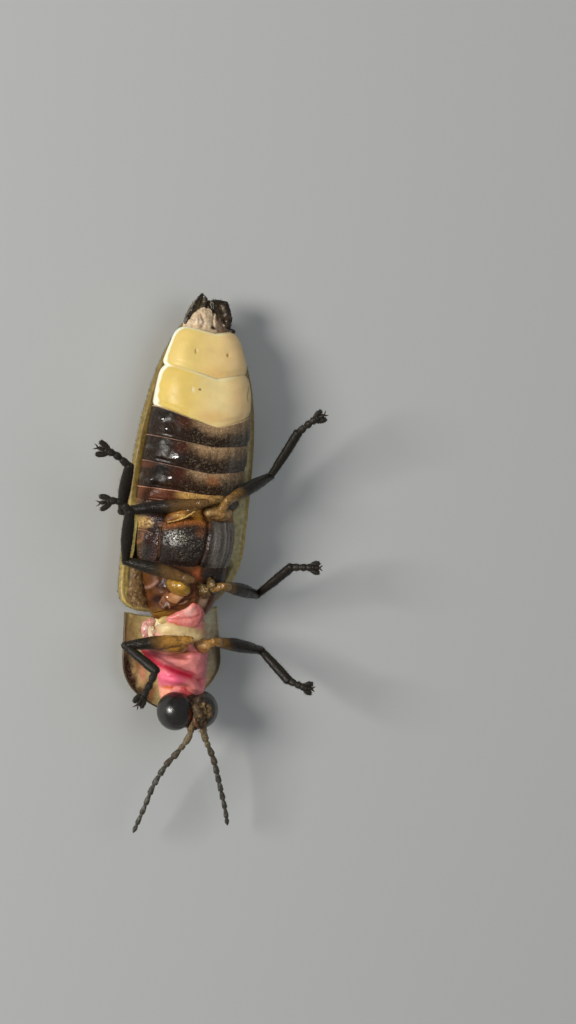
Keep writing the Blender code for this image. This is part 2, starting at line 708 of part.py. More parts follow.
# Each leg: hip plate (coxa) centre, radii and turn, then hip, knee, ankle, foot and toe
LEGS = {
    "leg_front_left": ((-0.35, -1.08, 2.02), (0.46, 0.24, 0.28), 0.1, (-0.1, -0.82, 2.42),
                       (-2.0, -1.2, 1.95), (-1.2, -1.86, 2.85), (-1.48, -2.5, 2.98),
                       (-1.78, -3.02, 3.06), 0.25),
    "leg_front_right": ((0.64, -0.96, 1.98), (0.28, 0.22, 0.27), 0.1, (0.88, -0.79, 2.33),
                        (2.83, -0.97, 1.35), (3.56, -1.81, 2.15), (3.98, -1.97, 2.5),
                        (4.27, -1.99, 2.62), 0.25),
    "leg_middle_left": ((-0.48, 0.82, 2.1), (0.44, 0.28, 0.3), -0.42, (-0.32, 1.12, 2.55),
                        (-2.3, 1.47, 1.95), (-2.75, 3.03, 2.88), (-3.12, 3.33, 3.02),
                        (-3.76, 3.2, 3.08), 0.26),
    "leg_middle_right": ((0.5, 0.86, 2.08), (0.32, 0.27, 0.29), 0.0, (0.95, 1.0, 2.42),
                         (2.55, 0.8, 1.15), (3.21, 1.82, 2.2), (3.72, 1.88, 2.55),
                         (4.04, 1.9, 2.7), 0.26),
    "leg_hind_left": ((-0.66, 3.2, 2.16), (0.64, 0.25, 0.22), 0.62, (-0.12, 3.56, 2.52),
                      (-2.5, 3.02, 1.62), (-2.93, 4.48, 2.86), (-3.4, 4.78, 3.0),
                      (-4.04, 4.93, 3.08), 0.26),
    "leg_hind_right": ((0.56, 3.3, 2.16), (0.46, 0.24, 0.22), 0.0, (0.72, 3.74, 2.5),
                       (2.46, 4.66, 1.42), (2.9, 6.12, 2.28), (3.2, 6.52, 2.6),
                       (3.58, 6.82, 2.8), 0.26),
}

ANTENNA_RADIUS = 0.18
ANTENNAE = {
    "antenna_left": ((0.55, -3.76, 1.86), (0.46, -4.05, 1.8), (0.17, -4.51, 1.74),
                     (-0.11, -4.89, 1.7), (-0.4, -5.58, 1.55), (-0.57, -6.3, 1.4),
                     (-0.78, -7.2, 1.15)),
    "antenna_right": ((0.98, -3.68, 1.82), (1.12, -3.98, 1.76), (1.42, -4.44, 1.66),
                      (1.6, -4.8, 1.6), (1.88, -5.42, 1.45), (2.2, -6.14, 1.28),
                      (2.42, -6.73, 1.12)),
}


# ---------------------------------------------------------------- the firefly

def finish(thing, kind):
    """Give a part its material, smooth shading and its place, in metres."""
    thing.data.materials.clear()
    thing.data.materials.append(material(kind))
    thing.data.transform(Matrix.Scale(MM, 4))
    thing.data.shade_smooth()
    thing.data.set_sharp_from_angle(angle=math.radians(40))
    thing.parent = ROOT


def grown_head_cutters():
    """The head and eyes grown by the gap, to cut their neighbours clear."""
    grown = HEAD_RADII + Vector((GAP, GAP, GAP))
    cutters = [ball("grown_capsule", HEAD_CENTRE, grown, HEAD_TURN, 20, 12)]
    neck = [head_place() @ Vector((0, 0.3, -0.1)), head_place() @ Vector((-0.06, 0.95, -0.22))]
    cutters.append(tube("grown_neck", neck, (0.36 + GAP, 0.34 + GAP), 3))
    cutters += [eye_body("grown_eye", side, GAP) for side in (-1, 1)]
    return cutters


def grown_coxa(name):
    """A leg's hip plate grown by the gap, to cut the seat that it sits in."""
    centre, radii, turn = LEGS[name][:3]
    return ball(name + "_seat", Vector(centre), [r + GAP for r in radii], turn, 16, 10)


ROOT = bpy.data.objects.new("firefly_place", None)
PARTS.objects.link(ROOT)
ROOT.location = -BOX_MIDDLE * MM

finish(make_elytron("elytron_left", -1, 0.0), "elytron")
finish(make_elytron("elytron_right", 1, RIGHT_SETBACK), "elytron")
finish(make_pronotum(), "pronotum")
prosternum = carve(make_prosternum(), grown_head_cutters()
                   + [grown_coxa("leg_front_left"), grown_coxa("leg_front_right")])
finish(prosternum, "prosternum")
mesothorax = carve(make_mesothorax(), [grown_coxa("leg_middle_left"),
                                       grown_coxa("leg_middle_right")])
finish(mesothorax, "mesothorax")
metathorax = carve(make_metathorax(), [grown_coxa("leg_hind_left"),
                                       grown_coxa("leg_hind_right")])
finish(metathorax, "metathorax")
finish(make_abdomen(), "abdomen")
finish(make_lantern("lantern_front", PLATE_5, PLATE_6, 0.04), "lantern")
finish(make_lantern("lantern_rear", PLATE_6, PLATE_7, 0.12), "lantern")
finish(make_tip(), "tip")
finish(make_head(), "head")
finish(eye_body("eye_left", -1), "eye")
finish(eye_body("eye_right", 1), "eye")
for antenna_name, antenna_path in ANTENNAE.items():
    antenna_points = [Vector(point) for point in antenna_path]
    finish(make_antenna(antenna_name, antenna_points, ANTENNA_RADIUS), "antenna")
for leg_name, leg_sizes in LEGS.items():
    finish(make_leg(leg_name, *leg_sizes), "leg")
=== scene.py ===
"""Looks of a life-size firefly that lies on its wing cases, belly up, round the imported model.

Shapes are made in millimetres in the body's own frame: X to the insect's right, Y towards its
tail and Z from back to belly, with y = 0 at the base of the wing cases. to_world() turns them
into the metres of the frame.
"""

import math

import bpy
import numpy as np
from mathutils import Matrix, Vector


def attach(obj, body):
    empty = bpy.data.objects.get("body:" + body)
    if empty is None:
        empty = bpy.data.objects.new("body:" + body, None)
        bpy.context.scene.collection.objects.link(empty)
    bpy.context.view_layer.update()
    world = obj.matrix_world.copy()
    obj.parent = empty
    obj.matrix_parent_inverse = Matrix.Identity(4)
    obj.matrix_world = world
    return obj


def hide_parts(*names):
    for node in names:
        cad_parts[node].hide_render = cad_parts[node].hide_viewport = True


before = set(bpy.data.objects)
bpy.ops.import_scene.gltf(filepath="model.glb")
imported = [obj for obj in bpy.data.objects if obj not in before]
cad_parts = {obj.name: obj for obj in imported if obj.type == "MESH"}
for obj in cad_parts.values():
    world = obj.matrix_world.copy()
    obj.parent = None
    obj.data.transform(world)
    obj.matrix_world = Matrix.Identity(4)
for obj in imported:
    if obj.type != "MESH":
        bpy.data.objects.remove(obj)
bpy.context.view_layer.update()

MM = 0.001
ASKEW = np.array(Matrix.Rotation(0.7, 3, (0.5, 0.6, 0.62)))  # so that lumps follow no axis
NOISE_PRIMES = np.array((73856093, 19349663, 83492791))
NOISE_SEED_STEP = 17.3                  # how far apart the seeds lie in the noise
CURVE_STEPS = 16                        # steps of a curve between two of the given points
CAP_RINGS = 5                           # extra rings that round off each end of a limb
HAIR_STRAY = 0.35                       # how far hairs stray from the way that they lie
HAIR_PATCH = 0.0015                     # half the width of a hair's patch on its map
HAIR_MARGIN = 0.005                     # how far the patches keep off the borders of the map
LONG_LIMB = 900                         # points: of a leg's parts only thigh and shin have more
BOX_MIDDLE = np.array((0.1, 1.6, 0.0))  # middle of the firefly's box in the body's frame

# The sizes that the looks share with the solids
SHEET = 0.13                            # thickness of the horny sheets
ELYTRON_LENGTH = 9.5
ELYTRON_FRONT = 0.09                    # how far a wing case reaches before its base
ELYTRON_EDGE = 0.09                     # radius of its edges
ELYTRON_HALF_WIDTH = 2.07
RIGHT_SETBACK = 0.22
SCUTELLUM_LENGTH = 0.75
SCUTELLUM_HALF_WIDTH = 0.42
PROTHORAX_TURN = math.radians(8.6)
PROTHORAX_PLACE = np.array((-0.1, -0.25, 0.0))
PRONOTUM_LENGTH = 3.05
PRONOTUM_HALF_WIDTH = 1.67
PRONOTUM_CORNER = 0.155
PRONOTUM_SWEEP = 0.13
PRONOTUM_TAPER = 0.05
HEAD_CENTRE = np.array((0.46, -3.1, 1.42))
HEAD_TURN = math.radians(5)
HEAD_ROLL = math.radians(24)
EYE_OFFSET = 0.55
EYE_HEIGHT = 0.07
EYE_RADII = np.array((0.57, 0.62, 0.6))
# Places along the abdomen, each with where its middle lies and its half width
ABDOMEN_COURSE = ((3.8, -0.2, 1.68), (4.7, -0.125, 1.695), (5.7, -0.085, 1.675),
                  (6.6, -0.055, 1.615), (7.2, -0.06, 1.56), (7.8, -0.09, 1.45),
                  (8.35, -0.115, 1.275), (8.75, -0.145, 1.135), (9.12, -0.175, 0.995))
PLATE_APEX = 0.14
PLATE_AROUND = 260                      # points round a belly plate
ABDOMEN_TOP = 2.26
ABDOMEN_SIDE = 1.05
ABDOMEN_LOW = 0.62
# Hind border of each belly plate: place at the sides, and how far its middle lies forward
PLATES = {2: (3.9, 0.04), 3: (4.75, 0.22), 4: (5.57, 0.18), 5: (6.5, 0.5), 6: (7.87, 0.32),
          7: (9.12, 0.14)}
# Each leg: the middle, radii and turn of its hip plate, then hip, knee, ankle, foot's bend and toe
LEGS = {
    "leg_front_left": ((-0.35, -1.08, 2.02), (0.46, 0.24, 0.28), 0.1, (-0.1, -0.82, 2.42),
                       (-2.0, -1.2, 1.95), (-1.2, -1.86, 2.85), (-1.48, -2.5, 2.98),
                       (-1.78, -3.02, 3.06)),
    "leg_front_right": ((0.64, -0.96, 1.98), (0.28, 0.22, 0.27), 0.1, (0.88, -0.79, 2.33),
                        (2.83, -0.97, 1.35), (3.56, -1.81, 2.15), (3.98, -1.97, 2.5),
                        (4.27, -1.99, 2.62)),
    "leg_middle_left": ((-0.48, 0.82, 2.1), (0.44, 0.28, 0.3), -0.42, (-0.32, 1.12, 2.55),
                        (-2.3, 1.47, 1.95), (-2.64, 3.05, 2.88), (-3.12, 3.33, 3.02),
                        (-3.76, 3.2, 3.08)),
    "leg_middle_right": ((0.5, 0.86, 2.08), (0.32, 0.27, 0.29), 0.0, (0.95, 1.0, 2.42),
                         (2.55, 0.8, 1.15), (3.21, 1.82, 2.2), (3.72, 1.88, 2.55),
                         (4.04, 1.9, 2.7)),
    "leg_hind_left": ((-0.66, 3.2, 2.16), (0.64, 0.25, 0.22), 0.62, (-0.12, 3.56, 2.52),
                      (-2.5, 3.02, 1.62), (-2.82, 4.46, 2.86), (-3.4, 4.78, 3.0),
                      (-4.04, 4.93, 3.08)),
    "leg_hind_right": ((0.56, 3.3, 2.16), (0.46, 0.24, 0.22), 0.0, (0.72, 3.74, 2.5),
                       (2.46, 4.66, 1.42), (2.9, 6.12, 2.28), (3.2, 6.52, 2.6),
                       (3.58, 6.82, 2.8)),
}
# The route of each feeler from its root to its end
ANTENNAE = {
    "antenna_left": ((0.55, -3.76, 1.86), (0.46, -4.05, 1.8), (0.17, -4.51, 1.74),
                     (-0.11, -4.89, 1.7), (-0.4, -5.58, 1.55), (-0.57, -6.3, 1.4),
                     (-0.78, -7.2, 1.15)),
    "antenna_right": ((0.98, -3.68, 1.82), (1.12, -3.98, 1.76), (1.42, -4.44, 1.66),
                      (1.6, -4.8, 1.6), (1.88, -5.42, 1.45), (2.2, -6.14, 1.28),
                      (2.42, -6.73, 1.12)),
}


# ---------------------------------------------------------------- numbers

def shade(colour):
    """A colour of 0 to 255, as a screen shows it, in linear light."""
    part = np.asarray(colour, float) / 255
    return np.where(part <= 0.04045, part / 12.92, ((part + 0.055) / 1.055) ** 2.4)


def step(value, start, end):
    """0 before start, 1 after end, and a soft curve between."""
    part = np.clip((np.asarray(value, float) - start) / (end - start), 0, 1)
    return part * part * (3 - 2 * part)


def bump(value, middle, width):
    """A soft hump of height 1 round a middle."""
    return np.exp(-((value - middle) / width) ** 2)


def spot(points, x, y, reach_x, reach_y, soft):
    """1 in an oval seen from the belly side, fading out at its border."""
    away = np.hypot((points[:, 0] - x) / reach_x, (points[:, 1] - y) / reach_y)
    return step(1 - away, 0, soft)


def line(points, route, width):
    """A soft line along a route seen from the belly side."""
    here = points[:, :2]
    nearest = np.full(len(here), 1e9)
    for start, end in zip(np.array(route[:-1], float), np.array(route[1:], float)):
        along = end - start
        part = np.clip((here - start) @ along / (along @ along), 0, 1)
        nearest = np.minimum(nearest, np.linalg.norm(here - start - part[:, None] * along, axis=1))
    return np.exp(-(nearest / width) ** 2)


def noise(points, size, seed):
    """Soft random values from -1 to 1, with lumps of a size in mm, or of three sizes."""
    size = np.asarray(size, float)
    place = (points @ ASKEW if size.ndim == 0 else points) / size + NOISE_SEED_STEP * (seed + 1)
    cell = np.floor(place).astype(np.int64)
    part = place - cell
    part = part * part * (3 - 2 * part)
    total = np.zeros(len(points))
    for corner in range(8):
        side = np.array([(corner >> k) & 1 for k in range(3)])
        key = (cell + side) * NOISE_PRIMES
        key = key[:, 0] ^ key[:, 1] ^ key[:, 2]
        key = ((key ^ (key >> 13)) * 1274126177) & 0x7fffffff
        value = ((key >> 7) & 0xffff) / 32767.5 - 1
        total += value * np.prod(np.where(side, part, 1 - part), axis=1)
    return total


def rough(points, size, seed, octaves=3):
    """Noise of several sizes, each half the last in size and in strength."""
    size = np.asarray(size, float)
    return sum(noise(points, size / 2 ** k, seed + k) / 2 ** k for k in range(octaves))


def eased(count):
    """Places from 0 to 1 that lie closest together at both ends."""
    return (1 - np.cos(np.pi * np.linspace(0, 1, count))) / 2


def to_world(points):
    """Metres in the frame."""
    return (points - BOX_MIDDLE) * MM


def turned(points, angle, place):
    """Points turned about Z and moved."""
    cos, sin = math.cos(angle), math.sin(angle)
    turn = np.array(((cos, -sin, 0), (sin, cos, 0), (0, 0, 1)))
    return points @ turn.T + np.asarray(place)


def smooth_path(points, count):
    """Points at even steps of a Catmull-Rom curve through the given ones."""
    points = np.asarray(points, float)
    ends = np.vstack((2 * points[0] - points[1], points, 2 * points[-1] - points[-2]))
    fine = []
    for a, b, c, d in zip(ends, ends[1:], ends[2:], ends[3:]):
        for t in np.arange(CURVE_STEPS) / CURVE_STEPS:
            fine.append(0.5 * (2 * b + (c - a) * t + (2 * a - 5 * b + 4 * c - d) * t * t
                               + (3 * b - a - 3 * c + d) * t ** 3))
    fine = np.array(fine + [points[-1]])
    reach = np.concatenate(([0], np.cumsum(np.linalg.norm(np.diff(fine, axis=0), axis=1))))
    goal = np.linspace(0, reach[-1], count)
    return np.stack([np.interp(goal, reach, fine[:, k]) for k in range(3)], 1)


# ---------------------------------------------------------------- shells

class Shell:
    """A surface with a colour, a gloss and a place on its unwrap at each point. ahead is the way
    along a limb at each point, and bare ones get no hairs."""

    def __init__(self, points, quads, tris, unwrap):
        self.points = points
        self.quads = quads
        self.tris = tris
        self.unwrap = unwrap
        self.colour = np.ones((len(points), 3))
        self.gloss = np.full(len(points), 0.5)
        self.ahead = None
        self.bare = False

    def triangles(self):
        """All faces as triangles."""
        return np.concatenate((self.quads[:, [0, 1, 2]], self.quads[:, [0, 2, 3]], self.tris))

    def flip(self):
        """Turn all faces the other way round."""
        self.quads = self.quads[:, ::-1]
        self.tris = self.tris[:, ::-1]

    def face_out(self):
        """Turn the faces round if they face inwards."""
        a, b, c = (self.points[self.triangles()[:, k]] for k in range(3))
        if np.einsum("ij,ij->", a, np.cross(b, c)) < 0:
            self.flip()
        return self

    def normals(self):
        """The way out of the surface at each point."""
        faces = self.triangles()
        a, b, c = (self.points[faces[:, k]] for k in range(3))
        square = np.cross(b - a, c - a)
        total = np.zeros_like(self.points)
        for k in range(3):
            np.add.at(total, faces[:, k], square)
        return total / np.maximum(np.linalg.norm(total, axis=1, keepdims=True), 1e-12)

    def push(self, distance):
        """Move each point out by a distance."""
        self.points = self.points + self.normals() * np.asarray(distance)[:, None]
        return self

    def paint(self, colour, mask=1.0):
        """Lay a colour over the mask."""
        mask = np.clip(np.broadcast_to(mask, (len(self.points),)), 0, 1)[:, None]
        self.colour = self.colour + (shade(colour) - self.colour) * mask
        return self

    def dab(self, *marks, over=1.0):
        """Lay colours over soft ovals: the colour, x, y, reach in x and y, softness, strength."""
        for colour, x, y, reach_x, reach_y, soft, strength in marks:
            self.paint(colour, spot(self.points, x, y, reach_x, reach_y, soft) * strength * over)
        return self

    def draw(self, *marks):
        """Lay colours along soft lines: the colour, the route, its width and its strength."""
        for colour, route, width, strength in marks:
            self.paint(colour, line(self.points, route, width) * strength)
        return self

    def mottle(self, colour, size, seed, start, end, strength=1.0):
        """Lay a colour over the lumps of noise of a size in mm."""
        return self.paint(colour, step(noise(self.points, size, seed), start, end) * strength)

    def polish(self, value, mask=1.0):
        """Set the gloss over the mask."""
        self.gloss = self.gloss + (value - self.gloss) * np.clip(mask, 0, 1)
        return self


def sweep(rings, slot=False):
    """A closed surface over rings of the same count. slot closes the first one, a flat loop,
    from side to side."""
    rings = np.asarray(rings, float)
    count, around = rings.shape[:2]
    index = np.arange(count * around).reshape(count, around)
    near, far = index[:-1], index[1:]
    quads = np.stack((near, np.roll(near, -1, 1), np.roll(far, -1, 1), far), -1).reshape(-1, 4)
    grid = np.meshgrid(np.arange(count) / (count - 1), np.arange(around) / around, indexing="ij")
    unwrap = np.stack(grid, -1).reshape(-1, 2)
    points = rings.reshape(-1, 3)
    pole = len(points)
    points = np.concatenate((points, rings[-1:].mean(1)))
    unwrap = np.concatenate((unwrap, ((1, 0.5),)))
    last = np.stack((index[-1], np.roll(index[-1], -1), np.full(around, pole)), -1)
    if slot:
        half = around // 2
        low = np.arange(1, half - 1)
        quads = np.concatenate((quads, np.stack((low + 1, low, around - low, around - low - 1), -1)))
        first = np.array(((1, 0, around - 1), (half, half - 1, half + 1)))
    else:
        points = np.concatenate((points, rings[:1].mean(1)))
        unwrap = np.concatenate((unwrap, ((0, 0.5),)))
        first = np.stack((np.roll(index[0], -1), index[0], np.full(around, pole + 1)), -1)
    return Shell(points, quads, np.concatenate((first, last)), unwrap).face_out()


def limb(path, radii, sides, flat=1.0, *, count):
    """A round-ended bar of count rings along a path. radii are spread evenly along it, and flat
    squeezes its height. The shell's along runs from 0 to 1 from its start to its end."""
    path = np.asarray(path, float)
    centres = smooth_path(path, count) if len(path) > 2 else \
        path[0] + (path[1] - path[0]) * np.linspace(0, 1, count)[:, None]
    share = np.linspace(0, 1, count)
    size = np.interp(share, np.linspace(0, 1, len(radii)), radii)
    ahead = np.gradient(centres, axis=0)
    ahead /= np.linalg.norm(ahead, axis=1, keepdims=True)
    # Round both ends off: extra rings that close in over three quarters of the end's radius
    cap = np.sin(np.linspace(0.12, 0.95, CAP_RINGS) * math.pi / 2)
    shrink = np.sqrt(1 - (1 - cap) ** 2)
    start = centres[0] - ahead[0] * (size[0] * 0.75 * (1 - cap))[:, None]
    end = centres[-1] + ahead[-1] * (size[-1] * 0.75 * (1 - cap[::-1]))[:, None]
    centres = np.concatenate((start, centres[1:-1], end))
    size = np.concatenate((size[0] * shrink, size[1:-1], size[-1] * shrink[::-1]))
    share = np.concatenate((np.zeros(CAP_RINGS), share[1:-1], np.ones(CAP_RINGS)))
    ahead = np.concatenate((np.repeat(ahead[:1], CAP_RINGS, 0), ahead[1:-1],
                            np.repeat(ahead[-1:], CAP_RINGS, 0)))
    across = np.cross(ahead, (0.0, 0.0, 1.0))
    across /= np.maximum(np.linalg.norm(across, axis=1, keepdims=True), 1e-9)
    over = np.cross(across, ahead)
    angle = 2 * math.pi * np.arange(sides) / sides
    rings = centres[:, None] + size[:, None, None] * (
        np.cos(angle)[None, :, None] * across[:, None]
        + flat * np.sin(angle)[None, :, None] * over[:, None])
    shell = sweep(rings)
    shell.along = np.concatenate((np.repeat(share, sides), (1.0, 0.0)))
    shell.ahead = np.concatenate((np.repeat(ahead, sides, 0), ahead[-1:], ahead[:1]))
    return shell


def blob(centre, radii, turn=0.0, around=40, along=26):
    """An ellipsoid, turned about Z, that can be shaped further."""
    angle = np.pi * (np.arange(along) + 0.5) / along
    spin = 2 * np.pi * np.arange(around) / around
    rings = np.stack((np.sin(angle)[:, None] * np.cos(spin), np.sin(angle)[:, None] * np.sin(spin),
                      np.repeat(np.cos(angle)[:, None], around, 1)), -1)
    shell = sweep(rings)
    shell.unit = shell.points.copy()
    shell.points = turned(shell.points * np.asarray(radii), turn, centre)
    return shell


def pad(corners, level, rise, around, along):
    """A pillow over an outline seen from the belly side. level gives the height of its middle
    sheet at x and y, and rise how far its top stands over that."""
    loop = np.array(corners, float)
    loop = smooth_path(np.hstack((np.concatenate((loop, loop, loop)), np.zeros((3 * len(loop), 1)))),
                       3 * around)[around:2 * around, :2]
    centre = loop.mean(0)
    angle = np.pi * (np.arange(along) + 0.5) / along
    reach = np.sin(angle)[:, None, None] ** 0.75
    flat = centre + (loop - centre) * reach
    height = level(flat[..., 0], flat[..., 1]) + rise * np.cos(angle)[:, None]
    return sweep(np.concatenate((flat, height[..., None]), -1))


def edge_rounding(distance, reach):
    """How much of half a sheet's thickness is drawn in: 0.5 at its edge, and 0 from reach on."""
    return 0.5 * (1 - np.sqrt(1 - np.clip(1 - distance / reach, 0, 1) ** 2))


def sheet(x, y, back, thick, rounding, slot=False):
    """A closed sheet over a back, and a mask that is 1 on its belly side."""
    lower = np.stack((x, y, back + rounding * thick), -1)
    upper = np.stack((x, y, back + (1 - rounding) * thick), -1)
    shell = sweep(np.concatenate((lower, upper[:, -2:0:-1]), 1), slot)
    rows, count = x.shape
    face = np.tile(np.concatenate((np.zeros(count), np.ones(count - 2))), rows)
    return shell, np.append(face, np.zeros(len(shell.points) - len(face)))


def body_rings(y, half, low, side, top, middle, bend, power, count, apex=0.0):
    """Sections of the body: superellipses of a power above and below its widest level, of count
    points each. bend moves the upper half forward, most at the apex."""
    y, half, low, side, top, middle, bend = (
        np.atleast_1d(np.asarray(value, float))[:, None] + np.zeros((len(np.atleast_1d(y)), 1))
        for value in (y, half, low, side, top, middle, bend))
    angle = (2 * np.pi * np.arange(count) / count)[None]
    across = np.sign(np.cos(angle)) * np.abs(np.cos(angle)) ** (2 / power)
    up = np.sign(np.sin(angle)) * np.abs(np.sin(angle)) ** (2 / power)
    reach = np.where(up >= 0, top - side, side - low)
    off = (across - apex) / (1 - np.copysign(apex, across - apex))
    forward = np.where(up > 0, bend * (1 - np.abs(off) ** 1.2), 0)
    return np.stack((middle + half * across, y - forward, side + reach * up), -1)


# ---------------------------------------------------------------- pieces

def mesh_of(name, shells):
    """One mesh in world metres from several shells, with their colours and gloss."""
    points, faces, colours, gloss, unwraps = [], [], [], [], []
    start = 0
    for shell in shells:
        points.append(to_world(shell.points))
        faces += [tuple(face) for face in (shell.quads + start).tolist()]
        faces += [tuple(face) for face in (shell.tris + start).tolist()]
        colours.append(shell.colour)
        gloss.append(shell.gloss)
        unwraps.append(shell.unwrap)
        start += len(shell.points)
    mesh = bpy.data.meshes.new(name)
    mesh.from_pydata(np.concatenate(points).tolist(), [], faces)
    mesh.update()
    colours = np.concatenate(colours)
    paint = mesh.color_attributes.new("paint", "FLOAT_COLOR", "POINT")
    paint.data.foreach_set("color", np.hstack((colours, np.ones((len(colours), 1)))).ravel())
    shine = mesh.attributes.new("gloss", "FLOAT", "POINT")
    shine.data.foreach_set("value", np.concatenate(gloss))
    mesh.shade_smooth()
    return mesh, np.concatenate(unwraps)


def place(name, mesh, slot, material):
    """A mesh as a piece that rides on the firefly."""
    thing = bpy.data.objects.new(name, mesh)
    bpy.context.scene.collection.objects.link(thing)
    mesh.materials.append(material)
    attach(thing, "root")
    return thing


def piece(name, shells, slot, nodes, material):
    """A piece of the firefly in its place, for the nodes that it stands for."""
    thing = place(name, mesh_of(name, shells)[0], slot, material)
    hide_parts(*nodes)


def hairs(shell, count, length, seed, *, width, colour, lie=(0, 1, 0), lift=0.35, mask=None,
          follow=False):
    """Fine hairs on a shell: thin spikes of three faces that lean along lie, or along a limb
    where they follow it."""
    random = np.random.default_rng(seed)
    faces = shell.triangles()
    a, b, c = (shell.points[faces[:, k]] for k in range(3))
    weight = np.linalg.norm(np.cross(b - a, c - a), axis=1)
    if mask is not None:
        weight = weight * np.clip(mask, 0, 1)[faces].mean(1)
    chosen = random.choice(len(faces), count, p=weight / weight.sum())
    mix = random.dirichlet((1, 1, 1), count)
    corner = faces[chosen]
    root = np.einsum("nk,nkd->nd", mix, shell.points[corner])
    out = np.einsum("nk,nkd->nd", mix, shell.normals()[corner])
    out /= np.maximum(np.linalg.norm(out, axis=1, keepdims=True), 1e-9)
    way = shell.ahead[corner[:, 0]] if follow else np.broadcast_to(np.array(lie, float), out.shape)
    way = way - out * np.einsum("nd,nd->n", way, out)[:, None]
    way /= np.maximum(np.linalg.norm(way, axis=1, keepdims=True), 1e-9)
    way = way + random.normal(0, HAIR_STRAY, way.shape) + out * lift
    way /= np.linalg.norm(way, axis=1, keepdims=True)
    side = np.cross(way, out)
    side /= np.maximum(np.linalg.norm(side, axis=1, keepdims=True), 1e-9)
    over = np.cross(side, way)
    long = (length * random.uniform(0.6, 1.15, count))[:, None]
    droop = -out * long * 0.12
    corners = [root - out * width * 0.4 + width * (math.cos(turn) * side + math.sin(turn) * over)
               for turn in (0.5, 2.6, 4.7)]
    points = np.stack((*corners, root + way * long + droop), 1).reshape(-1, 3)
    base = 4 * np.arange(count)[:, None]
    tris = np.concatenate([base + np.array(face) for face in ((0, 1, 3), (1, 2, 3), (2, 0, 3))])
    unwrap = np.einsum("nk,nkd->nd", mix, shell.unwrap[corner])
    patch = HAIR_PATCH * np.array(((-1, -1), (1, -1), (0, 1), (0, 0)))
    unwrap = (unwrap[:, None] * (1 - 2 * HAIR_MARGIN) + HAIR_MARGIN + patch).reshape(-1, 2)
    coat = Shell(points, np.zeros((0, 4), int), tris, unwrap)
    coat.colour = np.repeat(shade(colour) * random.uniform(0.6, 1.3, (count, 1)), 4, 0)
    coat.gloss = np.full(4 * count, 0.6)
    return coat


def coat_piece(name, coats, slot, material):
    """A piece of hairs, each a small patch on the map OFBake at its root's place."""
    columns = math.ceil(math.sqrt(len(coats)))
    for k, coat in enumerate(coats):
        tile = np.array((k % columns, k // columns))
        coat.unwrap = (coat.unwrap + tile) / columns
    mesh, unwraps = mesh_of(name, coats)
    layer = mesh.uv_layers.new(name="OFBake")
    corners = np.zeros(len(mesh.loops), np.int32)
    mesh.loops.foreach_get("vertex_index", corners)
    layer.data.foreach_set("uv", unwraps[corners].ravel())
    place(name, mesh, slot, material)


# ---------------------------------------------------------------- materials

